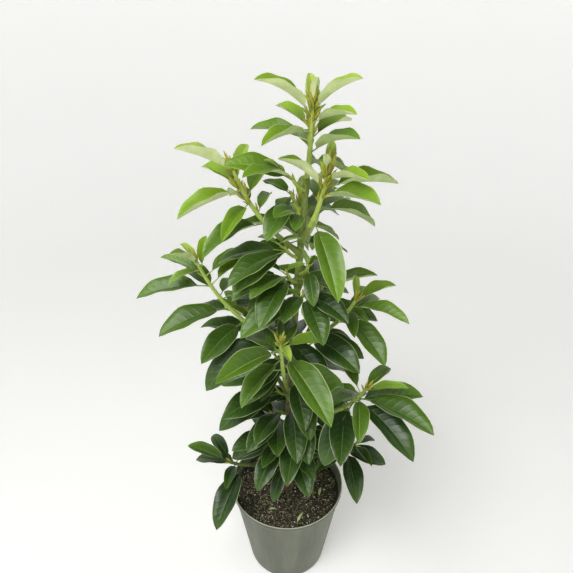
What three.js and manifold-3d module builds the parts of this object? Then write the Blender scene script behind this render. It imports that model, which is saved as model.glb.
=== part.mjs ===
// A young avocado tree growing in a nursery pot.
//
// Millimetres and degrees, +Z up. The origin is the middle of the pot's flat underside, the plant stands
// on Z = 0, and the plant's front faces -Y. A slender trunk leans a little to +X. Twelve boughs rise from
// it, each carrying one mass of leaves, a leader carries one more, and short side twigs fill the middle with
// older leaves. Every leaf is an arched, folded blade on a short stalk. A leaf that would come too near
// another, a limb or the pot is turned aside, and if no place is free it is left out, so each mass keeps to
// its own space.

import * as THREE from "three";
import { mergeVertices } from "three/addons/utils/BufferGeometryUtils.js";
import Module from "manifold-3d";

// ---------------------------------------------------------------- Driving dimensions (mm, degrees)

const POT = {
  height: 240,
  rimRadius: 137, // outside of the lip
  lipHeight: 12,
  lipStep: 4, // how far the lip stands out of the wall
  baseRadius: 97, // outside of the wall where it meets the floor
  footChamfer: 4,
  wall: 2.4,
  floor: 5,
  sides: 40,
};
const SOIL = { top: 218, gap: 0.4, edgeDip: 4, flatRadius: 70 };

const TRUNK = {
  top: 1000, // where the leader's leafy shoot takes over
  footRadius: 9,
  flare: 6, // extra radius at the soil
  flareHeight: 22,
  topRadius: 6,
  lean: 34, // sideways travel to +X, from the soil to the top
  bow: 7, // how far the middle swings back
  sides: 10,
  steps: 12,
  testPoints: 130,
};

const LIMB = {
  sides: 6,
  steps: 5,
  rootRadius: 5.2,
  endRadius: 3.6, // at the shoot's tip
  outward: 0.75, // the knee of its curve, as shares of its reach and its rise
  upward: 0.4,
  testPoints: 40,
};
const TWIG = { sides: 5, steps: 3, tipRadius: 3, budLength: 22, budRadius: 4.4 };
const SEAT = 0.3; // clearance where one solid is seated on another

const LEAF = {
  stalk: 0.17, // stalk's share of the leaf's length
  stalkRadius: 1.6,
  width: 0.45, // blade's greatest width over its length
  youngFold: 50, // how far each half is raised from flat, in a leaf at the tip and in an old one
  oldFold: 16,
  thickness: 2.2, // at the midrib; at least a hundredth of the length
  stations: [0.15, 0.48, 0.8], // along the blade
  youngBend: 8, // least turn from the stalk to the tip
  oldBend: 30,
  bendSpread: 24,
  youngTilt: 8, // how far a blade that points sideways tips its face to the front, where the light comes from
  oldTilt: 22,
  rollSpread: 12,
  steepest: { down: -72, up: 70 },
};
const LEAF_SPACE = 9.5; // least distance between the test points of two masses' leaves
const OWN_SPACE = 6; // the same within one mass, past the crowded roots
const OWN_ROOT = 0.3; // share of a blade next to its stalk that may crowd its own mass
const LIMB_SPACE = 4; // clear of a limb's surface
const STALK_SPACE = 2.2; // the same for a leaf's stalk
const POT_SPACE = 7; // clear of the pot
const SOIL_SPACE = 8; // clear of the soil
const GROUND_SPACE = 12; // clear of the ground
const GOLDEN_ANGLE = 137.5;
const SEED = 20;

// The masses at the boughs' ends. height: where the bough leaves the trunk. turn, reach, rise: from there to
// the shoot's tip. bare: the share of that way that the bough takes. more: leaves that the rule adds where
// there is room, about size long. outer: [turn, rise, length] of the leaves that make the outline, from the
// tip down.
const SHOOTS = [
  { name: "leader", height: TRUNK.top, turn: 0, reach: 8, rise: 118, bare: 0, more: 6, size: 125,
    downTo: 0.225, crowd: 2.2, oldFold: 38, firstTurn: 78, fan: 0.4,
    outer: [[95, 46, 72], [-82, 54, 64], [-42, 30, 112], [-148, 29, 126], [-50, 13, 104], [-134, -4, 118],
      [150, 5, 126], [-48, 19, 118]] },
  { name: "upper_right", height: 885, turn: -31, reach: 49, rise: 130, bare: 0.25, more: 6, size: 130,
    downTo: 0.15, crowd: 2, oldFold: 38, firstTurn: 110, fan: 0.4,
    outer: [[78, 40, 72], [-100, 46, 62], [-57, 12, 112], [20, -3, 150], [-50, 7, 134], [20, -23, 130],
      [-74, -36, 170]] },
  { name: "upper_left", height: 857, turn: 171, reach: 123, rise: 153, bare: 0.36, more: 5, size: 130,
    downTo: 0.3, crowd: 0.8, oldFold: 38, fan: 0.4,
    outer: [[-142, 25, 124], [-146, -14, 134], [-112, -18, 118], [77, 8, 95], [-138, -12, 145]] },
  { name: "lower_left", height: 625, turn: 177, reach: 188, rise: 205, bare: 0.4, more: 7, size: 130,
    downTo: 0.25, crowd: 1.85, fan: 0.6,
    outer: [[132, 20, 65], [-128, 34, 80], [-150, -14, 70], [38, 12, 112], [-172, -7, 150], [75, -4, 100],
      [-154, -10, 152], [-124, -12, 136]] },
  { name: "front", height: 520, turn: -97, reach: 151, rise: 222, bare: 0.62, more: 4, size: 140,
    downTo: 0.88, firstRise: -12, lastRise: -40,
    outer: [[-74, 8, 62], [27, -12, 95], [-133, 4, 150], [-60, -17, 166], [82, 4, 112], [135, -10, 120]] },
  { name: "right_mid", height: 640, turn: -2, reach: 124, rise: 112, bare: 0.5, more: 4, size: 130,
    downTo: 0.65, crowd: 1.5, fan: 0.6,
    outer: [[84, 22, 72], [31, 5, 114], [-42, 5, 130], [-88, -8, 84], [-60, -18, 140]] },
  { name: "right_low", height: 455, turn: -44, reach: 196, rise: 175, bare: 0.5, more: 6, size: 140,
    downTo: 0.79,
    outer: [[-24, 22, 86], [46, 5, 92], [134, -20, 72], [-98, -12, 105], [-42, 2, 158], [-72, -2, 160],
      [-128, -42, 135]] },
  { name: "base_left", height: 300, turn: -159, reach: 142, rise: 52, bare: 0.55, more: 2, size: 120,
    downTo: 0.4, crowd: 2, firstTurn: 30,
    outer: [[157, 3, 116], [124, 2, 100], [-99, 8, 84], [-112, -22, 150]] },
  { name: "base_right", height: 300, turn: 4, reach: 161, rise: 45, bare: 0.55, more: 3, size: 110,
    downTo: 0.6, crowd: 2,
    outer: [[-69, 8, 86], [34, -20, 84], [-86, -14, 138]] },
  { name: "rear_high", height: 790, turn: 85, reach: 105, rise: 130, bare: 0.4, more: 11, size: 140,
    fan: 0.7 },
  { name: "rear_right", height: 585, turn: 58, reach: 135, rise: 150, bare: 0.45, more: 11, size: 145,
    firstTurn: 80, fan: 0.7 },
  { name: "rear_left", height: 500, turn: 128, reach: 155, rise: 150, bare: 0.45, more: 11, size: 145,
    firstTurn: 100, fan: 0.6 },
  { name: "rear_low", height: 370, turn: 84, reach: 140, rise: 90, bare: 0.5, more: 9, size: 135 },
];
const SHOOT_DEFAULTS = {
  outer: [],
  downTo: 0.3, // the lowest of the outer leaves, as a share of the way
  crowd: 1, // over 1, the outer leaves draw together at the tip
  firstTurn: 90, // middle of the fan in which the rule's leaves stand
  fan: 1, // the fan's share of the full circle
  firstRise: 34, // the rule's leaves rise at the tip and droop lower down
  lastRise: -28,
  lowest: 0.14, // the rule's lowest leaf, as a share of the way up from the bare part
  tipSize: 0.7, // the size of a leaf at the tip over that of a grown one
  oldFold: LEAF.oldFold,
  agedBy: 0,
};

// Short side twigs straight off the trunk, with older leaves: [height, turn, more, size, outer].
const INNER = {
  reach: 34,
  rise: 26,
  bare: 0,
  rootRadius: 3.6,
  downTo: 0.8,
  firstRise: -8,
  lastRise: -30,
  lowest: 0.5,
  tipSize: 0.85,
  agedBy: 1,
};
const INNER_TWIGS = [
  [978, -130, 0, 130, [[-136, 12, 116], [-168, 16, 125]]],
  [922, -107, 0, 105, [[-118, 11, 90], [-96, 8, 75]]],
  [934, 126, 3, 130, [[127, 5, 100]]],
  [847, -138, 2, 150, [[-140, -22, 133], [172, -14, 140]]],
  [795, -120, 3, 140, [[-130, -2, 108], [-115, -20, 132]]],
  [757, -68, 3, 150, [[-82, -22, 121], [-48, -11, 118]]],
  [765, 65, 4, 150, []],
  [655, -151, 3, 160, [[-150, -19, 183]]],
  [612, -115, 2, 150, [[-124, -8, 127], [-103, -14, 133]]],
  [602, 30, 4, 150, []],
  [655, -42, 2, 140, [[-47, -6, 143]]],
  [580, 165, 3, 135, []],
  [560, -80, 2, 140, [[-98, -18, 132]]],
  [510, -140, 1, 145, [[-138, 4, 148]]],
  [479, -80, 2, 145, [[-87, -11, 142]]],
  [456, -122, 2, 140, [[-116, 3, 118]]],
  [475, 60, 4, 150, []],
  [398, -45, 4, 145, []],
  [365, -121, 2, 130, [[-114, 8, 97]]],
  [360, -72, 2, 130, [[-66, -1, 111]]],
  [306, -100, 0, 110, [[-112, -33, 90]]],
  [330, 120, 4, 140, []],
  [380, -140, 1, 120, [[-140, 6, 116]]],
  [430, 10, 3, 140, []],
  [420, 175, 3, 140, []],
  [813, -61, 0, 85, [[-73, -41, 81], [-135, 72, 60]]],
];

const COLOURS = {
  bark: "#6b5744",
  greenWood: "#7f9437",
  leafGrown: "#3f6d24",
  leafOld: "#1f4222",
  pot: "#72766a",
  soil: "#2c241c",
};

// ---------------------------------------------------------------- Small tools

const RAD = Math.PI / 180;
const UP = new THREE.Vector3(0, 0, 1);

function seededRandom(seed) {
  let state = seed >>> 0;
  return () => {
    state = (state + 0x6d2b79f5) >>> 0;
    let mixed = Math.imul(state ^ (state >>> 15), 1 | state);
    mixed = (mixed + Math.imul(mixed ^ (mixed >>> 7), 61 | mixed)) ^ mixed;
    return ((mixed ^ (mixed >>> 14)) >>> 0) / 4294967296;
  };
}

const heading = (turn) => new THREE.Vector3(Math.cos(turn * RAD), Math.sin(turn * RAD), 0);
const mix = (a, b, share) => a + (b - a) * share;

const wasm = await Module();
wasm.setup();

function solidOf(geometry) {
  const bare = geometry.clone();
  bare.deleteAttribute("normal");
  bare.deleteAttribute("uv");
  const merged = mergeVertices(bare, 1e-4);
  return new wasm.Manifold(
    new wasm.Mesh({
      numProp: 3,
      vertProperties: new Float32Array(merged.attributes.position.array),
      triVerts: new Uint32Array(merged.index.array),
    }),
  );
}

function geometryOf(solid) {
  const mesh = solid.getMesh();
  const geometry = new THREE.BufferGeometry();
  geometry.setAttribute("position", new THREE.BufferAttribute(new Float32Array(mesh.vertProperties), 3));
  geometry.setIndex(new THREE.BufferAttribute(new Uint32Array(mesh.triVerts), 1));
  geometry.computeVertexNormals();
  return geometry;
}

// A closed skin over rings of points. Each ring has the same number of points, or one point for a tip.
function skin(rings) {
  const positions = [];
  const faces = [];
  const starts = rings.map((ring) => {
    const start = positions.length / 3;
    ring.forEach((point) => positions.push(point.x, point.y, point.z));
    return start;
  });
  for (let r = 0; r + 1 < rings.length; r++) {
    const lower = rings[r];
    const upper = rings[r + 1];
    const count = Math.max(lower.length, upper.length);
    for (let i = 0; i < count; i++) {
      const next = (i + 1) % count;
      const at = (ring, index) => starts[ring] + (rings[ring].length === 1 ? 0 : index);
      if (lower.length > 1) faces.push(at(r, i), at(r, next), at(r + 1, i));
      if (upper.length > 1) faces.push(at(r, next), at(r + 1, next), at(r + 1, i));
    }
  }
  const cap = (ring, flip) => {
    for (let i = 1; i + 1 < rings[ring].length; i++) {
      const pair = flip ? [i + 1, i] : [i, i + 1];
      faces.push(starts[ring], starts[ring] + pair[0], starts[ring] + pair[1]);
    }
  };
  cap(0, true);
  cap(rings.length - 1, false);
  const geometry = new THREE.BufferGeometry();
  geometry.setAttribute("position", new THREE.Float32BufferAttribute(positions, 3));
  geometry.setIndex(faces);
  return geometry;
}

// A round ring about a point, square to the direction it runs in.
function ringAt(centre, along, radius, sides) {
  const upright = Math.abs(along.z) > 0.99;
  const side = upright ? new THREE.Vector3(1, 0, 0) : new THREE.Vector3().crossVectors(UP, along).normalize();
  const other = new THREE.Vector3().crossVectors(along, side).normalize();
  return Array.from({ length: sides }, (_, i) => {
    const angle = (2 * Math.PI * i) / sides;
    const point = centre.clone().addScaledVector(side, radius * Math.cos(angle));
    return point.addScaledVector(other, radius * Math.sin(angle));
  });
}

// ---------------------------------------------------------------- Trunk and limbs

// The trunk's centre line leans to +X and bows back in the middle.
function trunkCentre(height) {
  const share = (height - SOIL.top) / (TRUNK.top - SOIL.top);
  return new THREE.Vector3(
    TRUNK.lean * share - TRUNK.bow * Math.sin(Math.PI * share),
    TRUNK.bow * 0.5 * Math.sin(2 * Math.PI * share),
    height,
  );
}

function trunkRadius(height) {
  const share = (height - SOIL.top) / (TRUNK.top - SOIL.top);
  const flare = TRUNK.flare * Math.exp(-(height - SOIL.top) / TRUNK.flareHeight);
  return mix(TRUNK.footRadius, TRUNK.topRadius, share ** 0.8) + flare;
}

// grown makes the same trunk fatter, to cut what is seated on it.
function trunkSolid(grown = 0) {
  const foot = SOIL.top + SEAT - grown;
  const top = TRUNK.top + grown;
  const rings = [];
  for (let i = 0; i <= TRUNK.steps; i++) {
    const share = (i / TRUNK.steps) ** 1.4; // closer steps in the flare
    const height = mix(foot, top, share);
    const radius = trunkRadius(Math.max(height, SOIL.top)) + grown;
    rings.push(ringAt(trunkCentre(height), UP, radius, TRUNK.sides));
  }
  return solidOf(skin(rings));
}

// A shoot's line leaves the trunk outwards and then turns up.
function shootLine(shoot) {
  const root = trunkCentre(shoot.height);
  const out = heading(shoot.turn).multiplyScalar(shoot.reach);
  const tip = root.clone().add(out).addScaledVector(UP, shoot.rise);
  const knee = root.clone().addScaledVector(out, LIMB.outward).addScaledVector(UP, shoot.rise * LIMB.upward);
  return new THREE.QuadraticBezierCurve3(root, knee, tip);
}

function tube(line, from, to, fromRadius, toRadius, sides, steps) {
  return Array.from({ length: steps + 1 }, (_, i) => {
    const t = mix(from, to, i / steps);
    return ringAt(line.getPoint(t), line.getTangent(t), mix(fromRadius, toRadius, i / steps), sides);
  });
}

const limbRadiusAt = (t) => mix(LIMB.rootRadius, LIMB.endRadius, t);

function boughSolid(line, bare, fatTrunk) {
  const rings = tube(line, 0, bare, limbRadiusAt(0), limbRadiusAt(bare), LIMB.sides, LIMB.steps);
  return largest(solidOf(skin(rings)).subtract(fatTrunk));
}

// A cut can leave a scrap on the trunk's far side.
function largest(solid) {
  const parts = solid.decompose();
  return parts.reduce((best, part) => (part.volume() > best.volume() ? part : best));
}

// ---------------------------------------------------------------- Leaves

// Where a leaf's middle line is at a share of its way, and the directions along, across and out of its face.
function leafFrame(leaf, share) {
  const bend = leaf.bend * RAD;
  const first = leaf.rise * RAD + bend / 2;
  const angle = first - bend * share;
  const arc = (leaf.length * (bend / 2)) / Math.sin(bend / 2);
  const outward = (arc * (Math.sin(first) - Math.sin(angle))) / bend;
  const upward = (arc * (Math.cos(angle) - Math.cos(first))) / bend;
  const out = heading(leaf.turn);
  const centre = leaf.root.clone().addScaledVector(out, outward).addScaledVector(UP, upward);
  const along = out.clone().multiplyScalar(Math.cos(angle)).addScaledVector(UP, Math.sin(angle));
  const face = out.clone().multiplyScalar(-Math.sin(angle)).addScaledVector(UP, Math.cos(angle));
  const across = new THREE.Vector3().crossVectors(face, along);
  const roll = (leaf.roll + leaf.tilt * out.x) * RAD;
  face.applyAxisAngle(along, roll);
  across.applyAxisAngle(along, roll);
  return { centre, along, across, face };
}

// Half the blade's width at a share of the blade's own length: broadest a little below the middle.
const bladeHalfWidth = (leaf, share) =>
  leaf.length * (1 - LEAF.stalk) * leaf.width * 0.5 * Math.sin(Math.PI * share ** 0.92) ** 0.65;

function bladeEdge(leaf, frame, halfWidth, side) {
  const fold = leaf.fold * RAD;
  return frame.centre
    .clone()
    .addScaledVector(frame.across, side * halfWidth * Math.cos(fold))
    .addScaledVector(frame.face, halfWidth * Math.sin(fold));
}

function leafSolid(leaf) {
  const half = Math.max(LEAF.thickness, leaf.length / 80) / 2;
  const stalkRing = (share, radius) => {
    const { centre, across, face } = leafFrame(leaf, share);
    return [
      centre.clone().addScaledVector(across, radius),
      centre.clone().addScaledVector(face, radius),
      centre.clone().addScaledVector(across, -radius),
      centre.clone().addScaledVector(face, -radius),
    ];
  };
  const bladeRing = (share) => {
    const frame = leafFrame(leaf, mix(LEAF.stalk, 1, share));
    const width = bladeHalfWidth(leaf, share);
    return [
      bladeEdge(leaf, frame, width, 1),
      frame.centre.clone().addScaledVector(frame.face, half),
      bladeEdge(leaf, frame, width, -1),
      frame.centre.clone().addScaledVector(frame.face, -half),
    ];
  };
  const rings = [
    stalkRing(0, LEAF.stalkRadius),
    stalkRing(LEAF.stalk, LEAF.stalkRadius * 0.8),
    ...LEAF.stations.map(bladeRing),
    [leafFrame(leaf, 1).centre],
  ];
  const solid = solidOf(skin(rings));
  if (solid.volume() < 0) throw new Error("a leaf is inside out");
  return solid;
}

// ---------------------------------------------------------------- Keeping each leaf in free space

const PROBE_ROWS = 12;
const PROBE_COLUMNS = [-1, -0.67, -0.33, 0, 0.33, 0.67, 1];
const STALK_PROBES = [0.3, 0.65];

// Points spread over a leaf, each with its share of the blade's way, which is negative on the stalk.
function probes(leaf) {
  const points = STALK_PROBES.map((way) => {
    const point = leafFrame(leaf, LEAF.stalk * way).centre;
    return { point, share: way - 1 };
  });
  for (let row = 0; row <= PROBE_ROWS; row++) {
    const share = row / PROBE_ROWS;
    const frame = leafFrame(leaf, mix(LEAF.stalk, 1, share));
    const width = bladeHalfWidth(leaf, share);
    for (const column of PROBE_COLUMNS) {
      if (column !== 0 && width < 4) continue;
      const point = bladeEdge(leaf, frame, Math.abs(column) * width, Math.sign(column));
      points.push({ point, share });
    }
  }
  return points;
}

const grownLeaves = []; // {probes, mass, middle, length}
const grownLimbs = []; // {point, radius, mass}

function addLimbPoints(line, mass) {
  for (let i = 0; i <= LIMB.testPoints; i++) {
    const t = mix(0.02, 1, i / LIMB.testPoints);
    grownLimbs.push({ point: line.getPoint(t), radius: limbRadiusAt(t), mass });
  }
  const bud = line.getPoint(1).addScaledVector(line.getTangent(1), TWIG.budLength * 0.7); // near its point
  grownLimbs.push({ point: bud, radius: TWIG.budRadius, mass });
}

function clearOfPot(point) {
  const out = Math.hypot(point.x, point.y);
  if (point.z > POT.height + POT_SPACE) return true;
  if (out < POT.rimRadius - POT.lipStep - POT_SPACE) return point.z > SOIL.top + SOIL_SPACE;
  return out > POT.rimRadius + POT_SPACE && point.z > GROUND_SPACE;
}

function isFree(leaf, mass) {
  const points = probes(leaf);
  if (!points.every(({ point }) => clearOfPot(point))) return null;
  for (const limb of grownLimbs)
    for (const { point, share } of points) {
      if (limb.mass === mass && share < OWN_ROOT) continue;
      const space = share < 0 ? STALK_SPACE : LIMB_SPACE;
      if (point.distanceTo(limb.point) < limb.radius + space) return null;
    }
  const middle = leafFrame(leaf, 0.5).centre;
  for (const other of grownLeaves) {
    if (middle.distanceTo(other.middle) > leaf.length + other.length) continue;
    const own = other.mass === mass;
    const space = own ? OWN_SPACE : LEAF_SPACE;
    for (const a of points) {
      if (own && a.share < OWN_ROOT) continue;
      for (const b of other.probes) {
        if (own && b.share < OWN_ROOT) continue;
        if (a.point.distanceTo(b.point) < space) return null;
      }
    }
  }
  return points;
}

// How a leaf may be turned, dipped and shortened until it finds a free place, nearest first.
const TRIES = [[0, 0, 1]];
for (const [step, scale] of [[9, 1], [18, 0.96], [28, 0.92], [40, 0.86], [54, 0.78]])
  for (const [turn, rise] of [[1, 0], [-1, 0], [0, -1], [0, 1], [1, -1], [-1, -1], [1, 1], [-1, 1]])
    TRIES.push([turn * step, rise * step * 0.7, scale]);

function placeLeaf(wanted, mass) {
  for (const [turn, rise, scale] of TRIES) {
    const leaf = { ...wanted };
    leaf.turn += turn;
    leaf.rise += rise;
    leaf.length *= scale;
    if (leaf.rise < LEAF.steepest.down || leaf.rise > LEAF.steepest.up) continue;
    const points = isFree(leaf, mass);
    if (!points) continue;
    grownLeaves.push({ probes: points, mass, middle: leafFrame(leaf, 0.5).centre, length: leaf.length });
    return leaf;
  }
  return null;
}

// ---------------------------------------------------------------- Masses of leaves

function traits(age, random) {
  return {
    bend: mix(LEAF.youngBend, LEAF.oldBend, age) + LEAF.bendSpread * random(),
    roll: (random() - 0.5) * 2 * LEAF.rollSpread,
    width: LEAF.width * (0.92 + 0.2 * random()),
  };
}

// The leaves that make a mass's outline, crowded towards the tip.
function outerLeaves(shoot, random) {
  return shoot.outer.map(([turn, rise, length], i) => {
    const share = i / shoot.outer.length;
    const age = Math.max(share, shoot.agedBy);
    return { t: mix(1, shoot.downTo, share ** shoot.crowd), age, turn, rise, length, ...traits(age, random) };
  });
}

// The rest of its leaves, which stand a golden angle apart around the stem, drawn together into a fan.
function innerLeaves(shoot, random) {
  return Array.from({ length: shoot.more }, (_, i) => {
    const share = (i + 0.5) / shoot.more;
    const age = Math.max(share, shoot.agedBy);
    const swing = ((i * GOLDEN_ANGLE + 180) % 360) - 180;
    return {
      t: mix(0.97, mix(shoot.bare, 1, shoot.lowest), share),
      age,
      turn: shoot.firstTurn + swing * shoot.fan + (random() - 0.5) * 20,
      rise: mix(shoot.firstRise, shoot.lastRise, share) + (random() - 0.5) * 12,
      length: shoot.size * mix(shoot.tipSize, 1, Math.min(1, share * 2)) * (0.9 + 0.2 * random()),
      ...traits(age, random),
    };
  });
}

function grow(wishes, shoot, line) {
  return wishes
    .map((wish) => ({
      ...wish,
      root: line.getPoint(wish.t),
      fold: mix(LEAF.youngFold, shoot.oldFold, wish.age),
      tilt: mix(LEAF.youngTilt, LEAF.oldTilt, wish.age),
    }))
    .map((wish) => placeLeaf(wish, shoot.name))
    .filter((leaf) => leaf !== null);
}

function massSolid(shoot, line, leaves, fatTrunk) {
  const rootRadius = shoot.rootRadius ?? limbRadiusAt(shoot.bare);
  const seat = shoot.bare > 0 ? SEAT / line.getLength() : 0;
  const rings = tube(line, shoot.bare + seat, 1, rootRadius, TWIG.tipRadius, TWIG.sides, TWIG.steps);
  const tip = line.getPoint(1);
  const along = line.getTangent(1);
  const budMiddle = tip.clone().addScaledVector(along, TWIG.budLength * 0.4);
  rings.push(ringAt(budMiddle, along, TWIG.budRadius, TWIG.sides));
  rings.push([tip.clone().addScaledVector(along, TWIG.budLength)]);
  let twig = solidOf(skin(rings));
  if (shoot.bare === 0) twig = largest(twig.subtract(fatTrunk));
  return wasm.Manifold.union([twig, ...leaves.map(leafSolid)]);
}

// ---------------------------------------------------------------- Pot and soil

function potSolid() {
  const lipFoot = POT.height - POT.lipHeight;
  const wallTop = POT.rimRadius - POT.lipStep;
  const slope = (wallTop - POT.baseRadius) / lipFoot;
  const wallAt = (height) => POT.baseRadius + slope * height;
  const profile = [
    [0, 0],
    [wallAt(0) - POT.footChamfer, 0],
    [wallAt(POT.footChamfer), POT.footChamfer],
    [wallTop, lipFoot],
    [POT.rimRadius - 1, lipFoot],
    [POT.rimRadius, lipFoot + 1],
    [POT.rimRadius, POT.height - 1.5],
    [POT.rimRadius - 1.2, POT.height],
    [POT.rimRadius - POT.wall - 0.8, POT.height],
    [POT.rimRadius - POT.wall - 1.6, POT.height - 1.5],
    [wallAt(lipFoot) - POT.wall, lipFoot - 2],
    [wallAt(POT.floor) - POT.wall, POT.floor],
    [0, POT.floor],
  ].map(([x, y]) => new THREE.Vector2(x, y));
  return lathe(profile);
}

function lathe(profile) {
  const geometry = new THREE.LatheGeometry(profile, POT.sides);
  geometry.rotateX(Math.PI / 2);
  const solid = solidOf(geometry);
  return solid.volume() < 0 ? solid.mirror([0, 1, 0]) : solid;
}

function soilSolid() {
  const lipFoot = POT.height - POT.lipHeight;
  const slope = (POT.rimRadius - POT.lipStep - POT.baseRadius) / lipFoot;
  const inside = (height) => POT.baseRadius + slope * height - POT.wall - SOIL.gap;
  const floor = POT.floor + SOIL.gap;
  const edge = SOIL.top - SOIL.edgeDip;
  const profile = [
    [0, floor],
    [inside(floor) - 0.5, floor],
    [inside(edge) - 0.5, edge],
    [SOIL.flatRadius, SOIL.top],
    [0, SOIL.top],
  ].map(([x, y]) => new THREE.Vector2(x, y));
  return lathe(profile);
}

// ---------------------------------------------------------------- The whole plant

function material(colour, roughness) {
  return new THREE.MeshStandardMaterial({ color: colour, roughness, metalness: 0 });
}

const plant = new THREE.Group();
function add(name, solid, finish) {
  const mesh = new THREE.Mesh(geometryOf(solid), finish);
  mesh.name = name;
  plant.add(mesh);
}

const finishes = {
  bark: material(COLOURS.bark, 0.85),
  greenWood: material(COLOURS.greenWood, 0.6),
  grownLeaf: material(COLOURS.leafGrown, 0.45),
  oldLeaf: material(COLOURS.leafOld, 0.4),
};

add("pot", potSolid(), material(COLOURS.pot, 0.5));
add("soil", soilSolid(), material(COLOURS.soil, 0.95));
add("trunk", trunkSolid(), finishes.bark);

const fatTrunk = trunkSolid(SEAT);
for (let i = 0; i <= TRUNK.testPoints; i++) {
  const height = mix(SOIL.top, TRUNK.top, i / TRUNK.testPoints);
  grownLimbs.push({ point: trunkCentre(height), radius: trunkRadius(height), mass: "trunk" });
}

// Every limb is laid down before the first leaf, so that no leaf grows into one.
const boughShoots = SHOOTS.map((shoot) => ({ ...SHOOT_DEFAULTS, ...shoot }));
const innerShoots = INNER_TWIGS.map(([height, turn, more, size, outer], i) => ({
  ...SHOOT_DEFAULTS,
  ...INNER,
  name: `inner_${i + 1}`,
  height,
  turn,
  firstTurn: turn,
  more,
  size,
  outer,
}));
const shoots = [...boughShoots, ...innerShoots];
const lines = shoots.map(shootLine);
shoots.forEach((shoot, i) => addLimbPoints(lines[i], shoot.name));
const randoms = shoots.map((_, i) => seededRandom(SEED + 101 * i));
const outer = shoots.map((shoot, i) => grow(outerLeaves(shoot, randoms[i]), shoot, lines[i]));
const inner = shoots.map(() => []);
for (const i of [...innerShoots.map((_, k) => boughShoots.length + k), ...boughShoots.keys()])
  inner[i] = grow(innerLeaves(shoots[i], randoms[i]), shoots[i], lines[i]);
shoots.forEach((shoot, i) => {
  if (shoot.bare > 0) {
    const bough = boughSolid(lines[i], shoot.bare, fatTrunk);
    add(`${shoot.name}_bough`, bough, finishes.greenWood);
  }
  const leaves = [...outer[i], ...inner[i]];
  const finish = shoot.agedBy > 0 ? finishes.oldLeaf : finishes.grownLeaf;
  add(`${shoot.name}_leaves`, massSolid(shoot, lines[i], leaves, fatTrunk), finish);
});

export default plant;
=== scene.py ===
"""A young avocado tree in its nursery pot: every finished piece, laid out as an add-on and run as a script.

The plant stands on Z = 0 with its front to -Y. The growth rule is the source's own: a leader, twelve shoots
on boughs and twenty-six short side twigs leave a leaning trunk, and each leaf is turned aside or left out
where it would meet another leaf, a limb, the soil or the pot. Finer side twigs then grow by the same rule.
The rule works in millimetres, and a finished mesh is in metres.
"""

import functools
import math
from dataclasses import dataclass, replace

import bmesh
import bpy
import numpy as np
from bpy.props import FloatProperty, FloatVectorProperty, IntProperty, PointerProperty
from mathutils import Matrix, Vector, noise


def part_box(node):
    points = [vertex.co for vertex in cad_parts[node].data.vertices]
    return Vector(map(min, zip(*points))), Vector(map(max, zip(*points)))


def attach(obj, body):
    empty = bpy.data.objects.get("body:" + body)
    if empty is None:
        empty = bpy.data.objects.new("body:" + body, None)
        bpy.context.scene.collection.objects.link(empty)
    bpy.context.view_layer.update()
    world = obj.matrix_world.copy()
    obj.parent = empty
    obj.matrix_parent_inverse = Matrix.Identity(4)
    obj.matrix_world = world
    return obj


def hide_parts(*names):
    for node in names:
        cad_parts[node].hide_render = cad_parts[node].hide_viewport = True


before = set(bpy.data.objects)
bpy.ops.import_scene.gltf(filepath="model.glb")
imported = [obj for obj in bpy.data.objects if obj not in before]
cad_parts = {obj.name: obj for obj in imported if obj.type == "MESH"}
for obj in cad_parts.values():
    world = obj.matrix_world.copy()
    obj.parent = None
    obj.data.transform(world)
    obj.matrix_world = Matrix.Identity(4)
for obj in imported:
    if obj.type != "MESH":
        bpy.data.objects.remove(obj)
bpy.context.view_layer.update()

bl_info = {
    "name": "Potted avocado tree",
    "version": (1, 0, 0),
    "blender": (4, 5, 0),
    "location": "View3D > Sidebar > Avocado",
    "description": "Builds a young avocado tree in its nursery pot, piece by piece",
    "category": "Add Mesh",
}

MM = 0.001
RAD = math.pi / 180


def rgb(code):
    """A colour written as six hex digits, as the linear values that a shader takes."""
    parts = [int(code[i : i + 2], 16) / 255 for i in (0, 2, 4)]
    return tuple(c / 12.92 if c <= 0.04045 else ((c + 0.055) / 1.055) ** 2.4 for c in parts)


# ---------------------------------------------------------------- The growth rule (mm, degrees)

# The pot, the trunk and the limbs.
SOIL_TOP = 218
POT_HEIGHT = 240
POT_RADIUS = 137
LIP_STEP = 4
TRUNK_TOP = 1000
TRUNK_FOOT_RADIUS = 9
TRUNK_TOP_RADIUS = 6
TRUNK_FLARE = 6
TRUNK_FLARE_HEIGHT = 22
TRUNK_LEAN = 34
TRUNK_BOW = 7
LIMB_ROOT_RADIUS = 5.2
LIMB_END_RADIUS = 3.6
LIMB_OUTWARD = 0.75
LIMB_UPWARD = 0.4
LIMB_PROBES = 40
TWIG_TIP_RADIUS = 3
TWIG_ROOT_RADIUS = 3.6
TRUNK_PROBES = 130
BUD_LENGTH = 22
BUD_RADIUS = 4.4

# A leaf's form. Its width and its stalk are shares of its length, and it goes from young to old with its age.
STALK = 0.17
STALK_RADIUS = 1.6
LEAF_WIDTH = 0.45
YOUNG_FOLD = 50
OLD_FOLD = 16
YOUNG_BEND = 8
OLD_BEND = 30
BEND_SPREAD = 24
YOUNG_TILT = 8
OLD_TILT = 22
ROLL_SPREAD = 12
LOWEST_RISE = -72
HIGHEST_RISE = 70

# The least distances that leaves keep from each other and from the rest.
LEAF_SPACE = 9.5
OWN_SPACE = 6  # between leaves of one shoot
OWN_ROOT = 0.3  # the first share of a blade, which may come close to its own shoot
LIMB_SPACE = 4
STALK_SPACE = 2.2
POT_SPACE = 7
SOIL_SPACE = 8
GROUND_SPACE = 12
NEAR = 30  # anything further off than this beyond a leaf's reach isn't tested against it
NARROWEST = 4  # a blade's half width below which only its midrib is probed

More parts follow.
